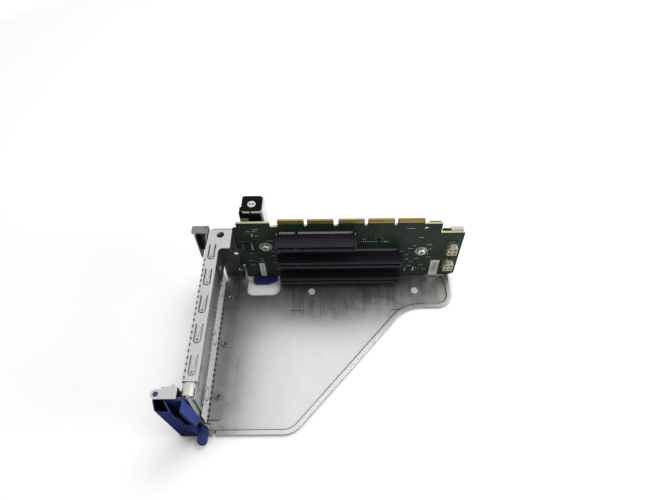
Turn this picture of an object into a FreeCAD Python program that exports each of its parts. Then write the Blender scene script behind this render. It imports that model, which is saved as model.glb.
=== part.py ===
import FreeCAD, Part
import math
import os

# A riser cage: a flat base plate, a rear wall with card windows, and an upright riser board.
# Millimetres. X runs from the wall along the board, Y away from the cards' side of the board,
# Z up from the base plate. Places are measured from the wall's outer face (x = 0), the board's
# front face (y = 0) and the plate's lower face (z = 0), then moved so that the origin lies
# under the plate.

Vec = FreeCAD.Vector

# Origin under the plate
ORIGIN_X = 60.0
ORIGIN_Y = -50.0

# Sheet and base plate
SHEET = 1.0
PLATE_RIGHT = 172.0
PLATE_BACK = 24.0
PLATE_FRONT = -120.4
PLATE_STEP_Y = -28.3
PLATE_CORNER_X = 57.3
PLATE_STEP_X = 137.0
PLATE_TOE_X = 3.7
PLATE_TOE_Y = -112.6
FRONT_RADIUS = 14.0
HOLLOW_RADIUS = 26.0
RIGHT_RADIUS = 11.0
RIM_WIDTH = 2.8
RIM_RAMP = 0.8
RIM_RISE = 0.8
NOTCH_X = 6.4
NOTCH_WIDTH = 1.6
LANCE_LENGTH = 8.0
LANCE_WIDTH = 0.8
LANCE_Y = -29.6
LANCE_X = (55.4, 129.7)
STUD_RADIUS = 2.65
STUD_SHANK = 1.6
STUD_HEAD = 0.5
STUD_Y = -13.5
STUD_X = (67.0, 144.9)

# Thumb opening
THUMB_LEFT = 17.9
THUMB_RIGHT = 43.1
THUMB_FRONT = -16.3
THUMB_NECK = -1.0
THUMB_RADIUS = 5.0
THUMB_BACK_LEFT = 16.4
LEVER_ROOM = 1.2

# Rear wall
WALL_BACK = -3.6
WALL_LENGTH = 107.0
WALL_HEIGHT = 63.9
FLANGE_WIDTH = 8.9
FLANGE_WIDE = 16.2
FLANGE_WIDE_LENGTH = 15.6
FLANGE_RADIUS = 2.0
FOOT_WIDTH = 11.0
BEND = 0.5
DASH_PITCH = 4.0
DASH_LENGTH = 1.9
DASH_START = 24.0
DASH_COUNT = 21
DASH_DEPTH = 1.6
TAB_COUNT = 5
TAB_PITCH = 19.8
TAB_FIRST = 18.6
TAB_LENGTH = 12.6
TAB_WIDTH = 4.6
TAB_SLIT = 0.8
TAB_X = 4.9
RIB_LENGTH = 6.0
RIB_WIDTH = 1.5
RIB_RISE = 0.3
DIMPLE_RADIUS = 0.9
DIMPLE_DEPTH = 0.5
FLANGE_HOLE_X = 8.8
FLANGE_HOLE_IN = 4.6
FLANGE_HOLE_RADIUS = 2.5
COLLAR_WALL = 0.8
COLLAR_DEPTH = 1.4
PEEP_RADIUS = 0.8
PEEP_FROM_FRONT = 9.0
PEEP_DROP = 1.2
FOOT_RADIUS = 3.0
KNUCKLE_LENGTH = 7.8
KNUCKLE_RADIUS = 3.5
KNUCKLE_DROP = 0.5
KNUCKLE_LEG = 2.0

# Card windows and their covers
SLOT_PITCH = 20.32
LOW_SLOT_Z = 10.9
WINDOW_ABOVE_SLOT = 0.9
WINDOW_HEIGHT = 10.4
WINDOW_FROM_BACK = 14.0
WINDOW_LENGTH = 87.0
COVER_GAP = 0.25
COVER_THICK = 0.8
COVER_TAB = 3.0
COVER_TAB_LENGTH = 7.0
COVER_TAB_HEIGHT = 4.4
VENT_SIZE = 1.3
VENT_PITCH = 3.5
VENT_MARGIN = 5.0
VENT_ROW = 3.05

# Spring strip at the foot of the wall
STRIP_THICK = 0.4
STRIP_BOTTOM = 2.9
STRIP_TOP = 16.5
STRIP_OVERRUN = 2.6
FINGER_COUNT = 3
FINGER_PITCH = 39.5
FINGER_FIRST = 14.4
FINGER_LENGTH = 15.0
FINGER_WIDTH = 3.5
FINGER_SLIT = 0.7
LOBE_RADIUS = 4.6
LOBE_Z = 10.8

# Guide channel outside the wall
HOOK_REACH = 8.8
HOOK_DEPTH = 8.2
HOOK_HEIGHT = 25.0
HOOK_BACK = -1.4
HOOK_CAP_OVER = 2.4
HOOK_CAP_DEPTH = 6.2
HOOK_CAP_SLANT = 3.6

# Corner plate and board carrier
CORNER_Y = 2.0
CORNER_LEFT = 1.3
CORNER_TOP = 57.6
CORNER_HEEL_X = 1.2
CORNER_HEEL_Z = 5.0
CORNER_STEP_X = 13.8
CORNER_RAMP = 1.4
CORNER_BOSS_X = 19.2
CORNER_LAP_X = 21.0
CORNER_BOSS_LOW = 26.0
CORNER_BOSS_HIGH = 35.6
CORNER_FOOT_HIGH = 14.0
CORNER_TAB_LOW = 16.8
CORNER_TAB_LENGTH = 10.4
CORNER_FOOT_LENGTH = 9.0
CORNER_HOLE_RADIUS = 1.8
CORNER_HOLES = ((12.6, 29.4), (12.9, 8.7))
CORNER_SLOT_X = 7.2
CORNER_SLOT_Z = 25.2
CORNER_SLOT_LENGTH = 2.2
CORNER_SLOT_WIDTH = 1.0
CARRIER_GAP = 2.8
CARRIER_RADIUS = 2.0
CARRIER_PAST_SLOT = 22.9
CARRIER_TOP = 55.0
CARRIER_STEP_X = 122.0
CARRIER_STEP_Z = 45.0
CARRIER_FOOT_X = 52.0
CARRIER_FOOT_LENGTH = 11.0
CARRIER_NOTCH_Z = 7.0
CARRIER_WINDOW_LOW = 14.0
CARRIER_WINDOW_HIGH = 30.0
CARRIER_WINDOW_X = (58.0, 96.0)
CARRIER_WINDOW_LENGTH = 28.0
CARRIER_WINDOW_RADIUS = 3.0
RIVET_RADIUS = 2.2
RIVET_SHANK = 1.3
RIVET_HEAD = 0.7
RIVET_HOLLOW_RADIUS = 1.5
RIVET_HOLLOW = 1.1
FOOT_RIVET_IN = 15.3
FOOT_RIVET_PITCH = 38.2
FOOT_RIVETS = 3
CARRIER_RIVET_IN = 10.0
CORNER_RIVET_X = 9.0
LAP_RIVET_Z = 20.0
TOWER_RIVET_Z = (24.0, 48.0)
WALL_RIVET_Z = (28.0, 48.0)

# Riser board
BOARD = 1.6
BOARD_LEFT = 18.0
BOARD_PAST_SLOT = 42.7
BOARD_BOTTOM = 2.5
BOARD_TOP = 66.5
BOARD_STEP_PAST_SLOT = 25.8
BOARD_STEP_Z = 64.0
BOARD_END_Z = 54.0
BOARD_CHAMFER = 2.4
BOARD_RADIUS = 0.6
EDGE_LEFT = 46.3
EDGE_TOP = 68.5
EDGE_TONGUES = ((0.0, 18.0), (20.2, 38.1), (41.4, 59.2), (61.5, 79.5), (81.8, 100.0))
EDGE_GAP_Z = 62.8
EDGE_BEVEL = 0.5
NOTCH_LEFT = 41.0
NOTCH_Z = 62.4
NOTCH_RADIUS = 0.9
BOARD_HOLE_RADIUS = 1.5
BOARD_HOLE_LEFT = (33.3, 63.0)
BOARD_HOLE_RIGHT = (15.3, 58.6)
FINGER_PAD_WIDTH = 0.7
FINGER_PAD_PITCH = 1.0
FINGER_PAD_THICK = 0.06
FINGER_PAD_HEIGHT = 2.6
FINGER_PAD_TOP_GAP = 0.6
SCREW_LEFT = (35.5, 40.2)
SCREW_RIGHT = (14.5, 33.0)
SCREW_SHANK = 1.3
SCREW_HEAD_RADIUS = 3.0
SCREW_HEAD = 2.0
SCREW_RECESS = 1.1
SCREW_CLEARANCE = 0.2
STANDOFF_RADIUS = 2.8

# Card slots
SLOT_LEFT = 44.1
SLOT_DEPTH = 10.9
SLOT_HEIGHT = 7.5
SHORT_SLOT = 56.0
LONG_SLOT = 89.0
CARD_GAP = 1.9
CARD_DEPTH = 8.3
CARD_END = 1.6
CARD_LEAD = 0.6
KEY_LEFT = 13.3
KEY_WIDTH = 1.7
PIN_MARGIN = 3.0
PIN_KEY_AFTER = 11
PIN_KEY_JUMP = 2.0
PIN_PITCH = 1.0
PIN_WIDTH = 0.6
PIN_REACH = 1.3
PIN_HEIGHT = 0.7
CLIP_WIDTH = 1.3
CLIP_REACH = 1.6
CLIP_HEIGHT = 2.6
CLIP_INSET = 0.9

# Power connectors, chips and other parts on the board
POWER_PAST_SLOT = 32.7
POWER_WIDTH = 7.0
POWER_DEPTH = 3.8
POWER_HEIGHT = 8.8
POWER_Z = (32.1, 12.4)
POWER_SHOULDER = 1.6
POWER_RADIUS = 0.3
POWER_WINDOW = 2.0
POWER_WINDOW_DEPTH = 2.8
POWER_WINDOW_PITCH = 3.4
POWER_PIN = 0.8
POWER_WINDOW_RISE = 1.0
POWER_WINDOW_STEP = 3.9
LEFT_CHIPS = ((20.2, 37.0, 5.4, 9.0, 1.0), (23.0, 52.6, 4.0, 3.0, 0.9))
RIGHT_CHIPS = ((5.1, 8.4, 5.0, 5.0, 0.9),)
LEFT_PARTS = (
    (42.4, 32.6), (40.6, 30.0), (41.0, 21.4), (42.6, 12.2), (31.4, 26.6), (23.0, 24.3), (23.8, 19.1),
    (24.5, 33.4),
)
MIDDLE_PARTS = ((4.5, 45.6), (7.5, 45.6), (10.5, 45.4), (13.5, 45.4), (19.5, 45.2), (22.3, 45.2))
RIGHT_PARTS = (
    (4.9, 24.0), (8.3, 20.6), (11.7, 24.6), (18.5, 30.6), (20.3, 36.0), (13.3, 12.6), (15.9, 16.4),
    (18.9, 11.0), (4.3, 29.6), (8.7, 40.4),
)
TINY_WIDTH = 1.6
TINY_HEIGHT = 0.9
TINY_THICK = 0.6
BIG_PART_PAST_SHORT = 14.5
BIG_PART_Z = 46.6
BIG_PART_WIDTH = 3.2
BIG_PART_HEIGHT = 2.2
BIG_PART_THICK = 1.4
LABEL_THICK = 0.1
LEFT_LABEL = (28.5, 3.2, 4.1, 17.1)
RIGHT_LABEL = (23.3, 3.0, 6.6, 18.6)
BACK_PLUG = (17.3, 50.6, 7.9, 12.0, 2.1)
BACK_SOCKET = (33.1, 44.0, 8.6, 11.2, 3.0)
BACK_CHIP = (27.4, 44.6, 5.4, 9.6, 2.4)

# Half-turn latch behind the board
AXIS_X = 28.9
AXIS_Y = 11.6
TOWER_LEFT = 22.3
TOWER_RIGHT = 37.0
TOWER_LOW = 8.0
TOWER_HIGH = 72.6
TOWER_DEPTH = 13.1
TOWER_EDGE = 2.0
TOWER_WINDOW_HEIGHT = 5.6
TOWER_WINDOW_DROP = 3.6
TOWER_WINDOW_SPLIT = 26.0
TOWER_MARGIN = 0.8
HOUSING_GAP = 0.1
HOUSING_HEIGHT = 18.6
CAP_THICK = 1.0
CAP_RADIUS = 1.8
KEY_RIB = 0.9
TOWER_WINDOW_RADIUS = 0.3
SHOULDER_LEFT = 20.4
SHOULDER_DEPTH = 6.0
SHOULDER_PLATE = 12.0
SHAFT_RADIUS = 2.3
SHAFT_LOW = 0.5
SHAFT_FIT = 0.06
SHAFT_HEAD_RADIUS = 3.0
SHAFT_HEAD = 1.0
SHAFT_HEAD_SINK = 0.5
SHAFT_RECESS = 3.6
SHAFT_SLOT = 0.9
SHAFT_COLLAR_RADIUS = 4.8
SHAFT_COLLAR = 1.2
TURN_GAP = 0.3
LEVER_LOW = 0.3
LEVER_THICK = 1.6
LEVER_LENGTH = 18.0
LEVER_LEFT = 6.7
LEVER_RIGHT = 11.6
LEVER_BEND = 4.4
LEVER_SHOULDER = 14.6
LEVER_RADIUS = 3.5
HUB_RADIUS = 7.4
HUB_BOSS_RADIUS = 4.6
HUB_BOSS_TOP = 6.2
RING_RADIUS = 3.9
RING_THICK = 0.6
SPRING_RADIUS = 4.0
SPRING_WIRE = 0.5
SPRING_TURNS = 9

# Card latch at the front end of the wall
PIVOT_X = -12.9
PIVOT_Y = -117.8
PIVOT_RADIUS = 1.4
PIVOT_FIT = 0.08
EAR_HALF = 2.8
EAR_RIGHT = -1.5
EAR_BUMP_X = -4.0
EAR_BUMP = 3.1
EAR_BUMP_HALF = 1.7
WEB_LENGTH = 12.0
WEB_LEFT = -10.4
WEB_STEP = 5.9
LATCH_GAP = 0.35
LATCH_RIGHT = 2.4
LATCH_LEFT = -14.2
LATCH_BACK = -119.9
LATCH_BACK_LEAN = 4.8
LATCH_FRONT = -127.5
LATCH_FRONT_LEAN = 6.4
LATCH_SIDE = ((0.0, 6.2), (1.9, 1.2), (4.6, 0.0))
LATCH_SIDE_FOOT = 0.25
FUNNEL_LEFT = -7.4
FUNNEL_MOUTH = -2.7
FUNNEL_WALL = 1.0
FUNNEL_BACK = -121.0
FUNNEL_HEIGHT = 12.0
FUNNEL_NARROWING = 0.4
POCKET_WALL = 0.45
POCKET_RIGHT = -8.9
POCKET_MOUTH = -4.2
POCKET_BACK = -120.6
POCKET_DEPTH = 15.0
GROOVE_X = -2.7
GROOVE_WIDTH = 3.5
GROOVE_DEPTH = 4.4
GROOVE_LENGTH = 29.5
HEEL_X = -3.0
HEEL_Z = 17.5
HEEL_SLOPE = 1.45
THUMB_TAB_LEFT = -2.6
THUMB_TAB_WIDTH = 6.1
THUMB_TAB_FRONT = -127.0
THUMB_TAB_THICK = 2.4
LATCH_WIRE = 0.4
WIRE_TAIL = 5.0


# Values that follow from the ones above
plate_top = SHEET
wall_front = WALL_BACK - WALL_LENGTH
wall_low = plate_top
wall_top = wall_low + WALL_HEIGHT
flange_low = wall_top - SHEET
foot_top = wall_low + SHEET
slot_z = [LOW_SLOT_Z + SLOT_PITCH * k for k in (2, 1, 0)]
slot_length = [SHORT_SLOT, LONG_SLOT, LONG_SLOT]
slot_pins = [int((length - PIN_MARGIN * 2 - PIN_KEY_JUMP) / PIN_PITCH) + 1 for length in slot_length]
short_end = SLOT_LEFT + SHORT_SLOT
long_end = SLOT_LEFT + LONG_SLOT
board_right = long_end + BOARD_PAST_SLOT
board_step_x = long_end + BOARD_STEP_PAST_SLOT
carrier_right = long_end + CARRIER_PAST_SLOT
power_x = long_end + POWER_PAST_SLOT
board_holes = (BOARD_HOLE_LEFT, (long_end + BOARD_HOLE_RIGHT[0], BOARD_HOLE_RIGHT[1]))
screw_places = (SCREW_LEFT, (long_end + SCREW_RIGHT[0], SCREW_RIGHT[1]))
window_front = WALL_BACK - WINDOW_FROM_BACK - WINDOW_LENGTH
window_back = WALL_BACK - WINDOW_FROM_BACK
carrier_front = BOARD + CARRIER_GAP
carrier_back = carrier_front + SHEET
tower_front = carrier_back
tower_back = tower_front + TOWER_DEPTH
lever_top = LEVER_LOW + LEVER_THICK
thumb_back_right = AXIS_X + LEVER_LENGTH + LEVER_ROOM
pivot_low = wall_low + SHEET + LATCH_GAP
pivot_high = flange_low - LATCH_GAP
knuckle_front = wall_front - KNUCKLE_LENGTH
ear_back = PIVOT_Y + EAR_HALF
web_back = ear_back + LATCH_GAP + SHEET
cap_top = TOWER_HIGH + CAP_THICK
tower_window_high = TOWER_HIGH - TOWER_EDGE
tower_window_low = tower_window_high - TOWER_WINDOW_HEIGHT
housing_low = round(TOWER_HIGH - HOUSING_HEIGHT, 2)
head_low = cap_top - SHAFT_HEAD_SINK - SHAFT_HEAD
collar_low = TOWER_LOW + SHEET + TURN_GAP


def box(x0, x1, y0, y1, z0, z1):
    return Part.makeBox(x1 - x0, y1 - y0, z1 - z0, Vec(x0, y0, z0))


def rod(radius, start, direction, length):
    return Part.makeCylinder(radius, length, start, direction)


def rounded_wire(points, radii, lift):
    """A closed wire in a level plane, with an arc of its own radius at each corner."""
    count = len(points)
    cuts = []
    for i in range(count):
        here = Vec(points[i][0], points[i][1], lift)
        before = Vec(points[i - 1][0], points[i - 1][1], lift)
        after = Vec(points[(i + 1) % count][0], points[(i + 1) % count][1], lift)
        back = (before - here).normalize()
        ahead = (after - here).normalize()
        if radii[i] <= 0:
            cuts.append((here, here, here))
            continue
        half = back.getAngle(ahead) / 2
        reach = radii[i] / math.tan(half)
        middle = here + (back + ahead).normalize() * (radii[i] / math.sin(half) - radii[i])
        cuts.append((here + back * reach, middle, here + ahead * reach))
    edges = []
    for i in range(count):
        start, middle, end = cuts[i]
        following = cuts[(i + 1) % count][0]
        if radii[i] > 0:
            edges.append(Part.Arc(start, middle, end).toShape())
        edges.append(Part.makeLine(end, following))
    return Part.Wire(edges)


def prism(points, radii, z0, z1):
    face = Part.Face(rounded_wire(points, radii, z0))
    return face.extrude(Vec(0, 0, z1 - z0))


def rounded_box(x0, x1, y0, y1, z0, z1, radius):
    corners = ((x0, y0), (x1, y0), (x1, y1), (x0, y1))
    return prism(corners, [radius] * len(corners), z0, z1)


def profile_along_y(points, radii, y0, y1):
    """A section drawn in X and Z, carried from y0 to y1."""
    solid = prism([(x, z) for x, z in points], radii, 0, y1 - y0)
    solid.rotate(Vec(0, 0, 0), Vec(1, 0, 0), 90)
    solid.translate(Vec(0, y1, 0))
    return solid


def upright(points, radii, y0, y1):
    """A sheet that stands parallel to the board, outlined in X and Z."""
    return profile_along_y(points, radii, y0, y1)


def level_slot(x, y, length, width, z0, z1):
    half = length / 2
    return rounded_box(x - half, x + half, y - width / 2, y + width / 2, z0, z1, width * 0.45)


def group(solids):
    return Part.makeCompound(solids)


def save(name, shape):
    placed = shape.copy()
    placed.translate(Vec(-ORIGIN_X, -ORIGIN_Y, 0))
    placed.exportStep("parts/" + name + ".step")


# Base plate

def plate_outline(inset, spill, lift):
    """The plate's outline. Free edges move in by inset, the wall and back edges out by spill."""
    corner = Vec(PLATE_CORNER_X, PLATE_FRONT, 0)
    step = Vec(PLATE_STEP_X, PLATE_STEP_Y, 0)
    slope = (step - corner).normalize()
    inward = Vec(-slope.y, slope.x, 0)
    anchor = corner + inward * inset
    front = PLATE_FRONT + inset
    ledge = PLATE_STEP_Y + inset
    right = PLATE_RIGHT - inset
    front_x = anchor.x + slope.x / slope.y * (front - anchor.y)
    ledge_x = anchor.x + slope.x / slope.y * (ledge - anchor.y)
    points = (
        (-spill, PLATE_BACK + spill),
        (-spill, PLATE_TOE_Y),
        (PLATE_TOE_X - spill, PLATE_TOE_Y),
        (PLATE_TOE_X - spill, front),
        (front_x, front),
        (ledge_x, ledge),
        (right, ledge),
        (right, PLATE_BACK + spill),
    )
    radii = (0, 0, 0, 0, FRONT_RADIUS - inset, HOLLOW_RADIUS + inset, RIGHT_RADIUS - inset, 0)
    return rounded_wire(points, radii, lift)


def plate_frustum(low_inset, high_inset, spill, z0, z1):
    low = plate_outline(low_inset, spill, z0)
    high = plate_outline(high_inset, spill, z1)
    return Part.makeLoft([low, high], True, True)


def thumb_opening(z0, z1):
    front = rounded_box(THUMB_LEFT, THUMB_RIGHT, THUMB_FRONT, 0, z0, z1, THUMB_RADIUS)
    front = front.common(box(THUMB_LEFT, THUMB_RIGHT, THUMB_FRONT, THUMB_NECK - THUMB_RADIUS, z0, z1))
    neck = box(THUMB_LEFT, THUMB_RIGHT, THUMB_NECK - THUMB_RADIUS, THUMB_NECK, z0, z1)
    back = box(THUMB_BACK_LEFT, thumb_back_right, THUMB_NECK, PLATE_BACK + SHEET, z0, z1)
    return front.fuse([neck, back])


def cage_plate():
    rim = Part.Face(plate_outline(0, 0, RIM_RISE)).extrude(Vec(0, 0, SHEET))
    tray = plate_frustum(RIM_WIDTH + RIM_RAMP, RIM_WIDTH, 0, 0, RIM_RISE)
    hollow = plate_frustum(RIM_WIDTH + RIM_RAMP, RIM_WIDTH, SHEET, SHEET, SHEET + RIM_RISE)
    plate = rim.fuse(tray).cut(hollow).removeSplitter()
    top = SHEET + RIM_RISE
    cuts = [thumb_opening(-SHEET, top)]
    notch_end = PLATE_FRONT + RIM_WIDTH
    cuts.append(box(NOTCH_X, NOTCH_X + NOTCH_WIDTH, PLATE_FRONT - SHEET, notch_end, -SHEET, top + SHEET))
    for x in LANCE_X:
        cuts.append(level_slot(x, LANCE_Y, LANCE_LENGTH, LANCE_WIDTH, -SHEET, top))
    for x in STUD_X:
        cuts.append(rod(STUD_SHANK, Vec(x, STUD_Y, -SHEET), Vec(0, 0, 1), top + SHEET))
    for x, y in foot_rivets + carrier_rivets + corner_rivets:
        cuts.append(rod(RIVET_SHANK, Vec(x, y, -SHEET), Vec(0, 0, 1), top + SHEET))
    return plate.cut(cuts)


def level_rivets(places, seat):
    """Rivets with a hollow in their heads; the shank fills the holes to the plate's lower face."""
    rivets = []
    for x, y in places:
        head = Part.makeSphere(RIVET_RADIUS, Vec(x, y, seat), Vec(0, 0, 1), 0, 90, 360)
        head = head.common(rod(RIVET_RADIUS, Vec(x, y, seat), Vec(0, 0, 1), RIVET_HEAD))
        rivet = head.fuse(rod(RIVET_SHANK, Vec(x, y, 0), Vec(0, 0, 1), seat))
        floor = seat + RIVET_HEAD - RIVET_HOLLOW
        hollow = Part.makeCone(RIVET_HOLLOW_RADIUS / 2, RIVET_HOLLOW_RADIUS, RIVET_HOLLOW,
                               Vec(x, y, floor), Vec(0, 0, 1))
        rivets.append(rivet.cut(hollow))
    return group(rivets)


def plate_studs():
    studs = []
    for x in STUD_X:
        head = rod(STUD_RADIUS, Vec(x, STUD_Y, plate_top), Vec(0, 0, 1), STUD_HEAD)
        head = head.makeFillet(STUD_HEAD * 0.4, [head.Edges[0]])
        studs.append(head.fuse(rod(STUD_SHANK, Vec(x, STUD_Y, 0), Vec(0, 0, 1), plate_top)))
    return group(studs)


# Rear wall

def u_tab_slit(y_open):
    """The U-shaped slit round one spring tab, open towards the back."""
    half = TAB_WIDTH / 2
    inner = half - TAB_SLIT
    centre = y_open - TAB_LENGTH + half
    low = flange_low - SHEET
    high = wall_top + SHEET
    tall = high - low
    outer = box(TAB_X - half, TAB_X + half, centre, y_open, low, high)
    outer = outer.fuse(rod(half, Vec(TAB_X, centre, low), Vec(0, 0, 1), tall))
    tongue = box(TAB_X - inner, TAB_X + inner, centre, y_open + SHEET, low, high)
    tongue = tongue.fuse(rod(inner, Vec(TAB_X, centre, low), Vec(0, 0, 1), tall))
    return outer.cut(tongue)


def tab_opens():
    return [WALL_BACK - TAB_FIRST + TAB_LENGTH / 2 - TAB_PITCH * k for k in range(TAB_COUNT)]


def rear_wall():
    points = (
        (FOOT_WIDTH, wall_low), (0, wall_low), (0, wall_top), (FLANGE_WIDE, wall_top),
        (FLANGE_WIDE, flange_low), (SHEET, flange_low), (SHEET, foot_top), (FOOT_WIDTH, foot_top),
    )
    radii = (0, BEND + SHEET, BEND + SHEET, 0, 0, BEND, BEND, 0)
    wall = profile_along_y(points, radii, wall_front, WALL_BACK)
    beyond = FLANGE_WIDE + FLANGE_RADIUS
    wide_end = WALL_BACK - FLANGE_WIDE_LENGTH
    cuts = [rounded_box(FLANGE_WIDTH, beyond, wall_front - beyond, wide_end,
                        flange_low - SHEET, wall_top + SHEET, FLANGE_RADIUS)]
    for z in slot_z:
        low = z + WINDOW_ABOVE_SLOT
        cuts.append(box(-SHEET, SHEET * 2, window_front, window_back, low, low + WINDOW_HEIGHT))
        for y in (window_front, window_back):
            cuts.append(cover_hole(y, low + WINDOW_HEIGHT))
    for y_open in tab_opens():
        cuts.append(u_tab_slit(y_open))
        end = y_open - TAB_LENGTH + TAB_WIDTH / 2
        cuts.append(rod(DIMPLE_RADIUS, Vec(TAB_X, end, wall_top - DIMPLE_DEPTH), Vec(0, 0, 1), SHEET))
    for k in range(DASH_COUNT):
        y = WALL_BACK - DASH_START - DASH_PITCH * k
        reach = SHEET + BEND
        cuts.append(box(-SHEET, reach, y - DASH_LENGTH, y, wall_top - DASH_DEPTH, wall_top + SHEET))
        cuts.append(box(SHEET * 0.7, reach + SHEET, y - DASH_LENGTH, y, 0, foot_top + BEND))
    hole = Vec(FLANGE_HOLE_X, WALL_BACK - FLANGE_HOLE_IN, flange_low - COLLAR_DEPTH)
    collar = rod(FLANGE_HOLE_RADIUS + COLLAR_WALL, hole, Vec(0, 0, 1), COLLAR_DEPTH)
    cuts.append(rod(FLANGE_HOLE_RADIUS, hole, Vec(0, 0, 1), COLLAR_DEPTH + SHEET * 2))
    peep = Vec(-SHEET, wall_front + PEEP_FROM_FRONT, slot_z[1] - PEEP_DROP)
    cuts.append(rod(PEEP_RADIUS, peep, Vec(1, 0, 0), SHEET * 3))
    for x, y in foot_rivets:
        cuts.append(rod(RIVET_SHANK, Vec(x, y, 0), Vec(0, 0, 1), foot_top + SHEET))
    for y, z in wall_rivets:
        cuts.append(rod(RIVET_SHANK, Vec(-SHEET, y, z), Vec(1, 0, 0), SHEET * 3))
    corner = box(FOOT_WIDTH - FOOT_RADIUS, FOOT_WIDTH, wall_front, wall_front + FOOT_RADIUS,
                 wall_low, foot_top)
    centre = Vec(FOOT_WIDTH - FOOT_RADIUS, wall_front + FOOT_RADIUS, wall_low)
    cuts.append(corner.cut(rod(FOOT_RADIUS, centre, Vec(0, 0, 1), SHEET)))
    wall = wall.fuse([collar, wall_knuckle()]).cut(cuts)
    ribs = []
    for y_open in tab_opens():
        middle = y_open - TAB_LENGTH / 2 + RIB_WIDTH
        rib = rounded_box(TAB_X - RIB_WIDTH / 2, TAB_X + RIB_WIDTH / 2, middle - RIB_LENGTH / 2,
                          middle + RIB_LENGTH / 2, flange_low + SHEET / 2, wall_top + RIB_RISE,
                          RIB_WIDTH * 0.45)
        ribs.append(rib)
    return wall.fuse(ribs)


def wall_knuckle():
    """The rolled end of the flange: half a tube with short legs, one step below the flange."""
    high = wall_top - KNUCKLE_DROP
    low = high - KNUCKLE_RADIUS - KNUCKLE_LEG
    wide = KNUCKLE_RADIUS * 2
    rounding = KNUCKLE_RADIUS * 0.98
    outside = ((0, low), (0, high), (wide, high), (wide, low))
    inside = ((SHEET, low - SHEET), (SHEET, high - SHEET), (wide - SHEET, high - SHEET),
              (wide - SHEET, low - SHEET))
    shell = profile_along_y(outside, (0, rounding, rounding, 0), knuckle_front, wall_front)
    hollow = profile_along_y(inside, (0, rounding - SHEET, rounding - SHEET, 0),
                             knuckle_front, wall_front)
    return shell.cut(hollow)


def cover_hole(y, window_high):
    """Room in the window's end for the cover's tab, which passes through beside the window's top."""
    reach = COVER_THICK + COVER_GAP
    low = window_high - COVER_TAB_HEIGHT - COVER_GAP * 2
    return box(-SHEET, SHEET * 2, y - reach, y + reach, low, window_high)


def slot_cover(z):
    """A perforated blank that fills one window, with a tab at each end on the wall's inner face."""
    low = z + WINDOW_ABOVE_SLOT + COVER_GAP
    high = z + WINDOW_ABOVE_SLOT + WINDOW_HEIGHT - COVER_GAP
    front = window_front + COVER_GAP
    back = window_back - COVER_GAP
    blank = box(SHEET - COVER_THICK, SHEET, front, back, low, high)
    vents = []
    rows = int((high - low - VENT_SIZE * 2) / VENT_ROW) + 1
    first = (low + high) / 2 - (rows - 1) * VENT_ROW / 2
    columns = int((back - front - VENT_MARGIN * 2) / VENT_PITCH)
    for row in range(rows):
        for column in range(columns):
            y = front + VENT_MARGIN + VENT_PITCH * (column + (row % 2) / 2)
            corners = []
            for side in range(6):
                turn = math.radians(60 * side + 30)
                corners.append((y + VENT_SIZE * math.cos(turn),
                                first + row * VENT_ROW + VENT_SIZE * math.sin(turn)))
            vents.append(wall_prism(corners))
    blank = blank.cut(vents)
    tab_low = high - COVER_TAB_HEIGHT
    tabs = [
        box(SHEET, SHEET + COVER_THICK, front - COVER_TAB, front + COVER_TAB_LENGTH, tab_low, high),
        box(SHEET, SHEET + COVER_THICK, back - COVER_TAB, back + COVER_TAB, tab_low, high),
    ]
    return blank.fuse(tabs)


def wall_prism(corners):
    """A hole through the wall, outlined in Y and Z."""
    points = [Vec(-SHEET, y, z) for y, z in corners]
    face = Part.Face(Part.makePolygon(points + points[:1]))
    return face.extrude(Vec(SHEET * 3, 0, 0))


def contact_strip():
    back = WALL_BACK
    front = wall_front - STRIP_OVERRUN
    strip = box(SHEET, SHEET + STRIP_THICK, front, back, STRIP_BOTTOM, STRIP_TOP)
    slit_high = STRIP_TOP - FINGER_WIDTH
    slit_low = slit_high - FINGER_SLIT
    deep = SHEET * 3
    cuts = []
    for k in range(FINGER_COUNT):
        y = back - FINGER_FIRST - FINGER_PITCH * k
        centre = Vec(0, y, LOBE_Z)
        ring = rod(LOBE_RADIUS, centre, Vec(1, 0, 0), deep)
        ring = ring.cut(rod(LOBE_RADIUS - FINGER_SLIT, centre, Vec(1, 0, 0), deep))
        ring = ring.cut(box(0, deep, y - LOBE_RADIUS, y, slit_high, STRIP_TOP))
        meet = math.sqrt((LOBE_RADIUS - FINGER_SLIT / 2) ** 2 - (slit_low - LOBE_Z) ** 2)
        cuts.append(ring)
        cuts.append(box(0, deep, y, y + FINGER_SLIT, LOBE_Z + LOBE_RADIUS - FINGER_SLIT, STRIP_TOP))
        cuts.append(box(0, deep, y - FINGER_LENGTH, y - meet, slit_low, slit_high))
    return strip.cut(cuts)


def guide_hook():
    """A bent channel outside the wall, open towards the cards' side, with a cap on top."""
    low = wall_top - HOOK_HEIGHT
    back = HOOK_BACK
    front = HOOK_BACK + SHEET - HOOK_DEPTH
    points = ((0, back), (0, back + SHEET), (-HOOK_REACH, back + SHEET), (-HOOK_REACH, front),
              (SHEET - HOOK_REACH, front), (SHEET - HOOK_REACH, back))
    radii = (0, 0, BEND + SHEET, 0, 0, BEND)
    hook = prism(points, radii, low, wall_top)
    tail = box(-SHEET, 0, WALL_BACK - HOOK_DEPTH, back + SHEET, low, wall_top)
    cap_left = -HOOK_REACH - HOOK_CAP_OVER
    cap_front = back + SHEET - HOOK_CAP_DEPTH
    cap = prism(((cap_left, cap_front), (0, cap_front), (0, back + SHEET - HOOK_CAP_SLANT),
                 (-HOOK_CAP_SLANT, back + SHEET), (cap_left, back + SHEET)),
                (SHEET, 0, 0, 0, SHEET), flange_low, wall_top)
    return hook.fuse([tail, cap]).removeSplitter()


# Corner plate and carrier

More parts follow.
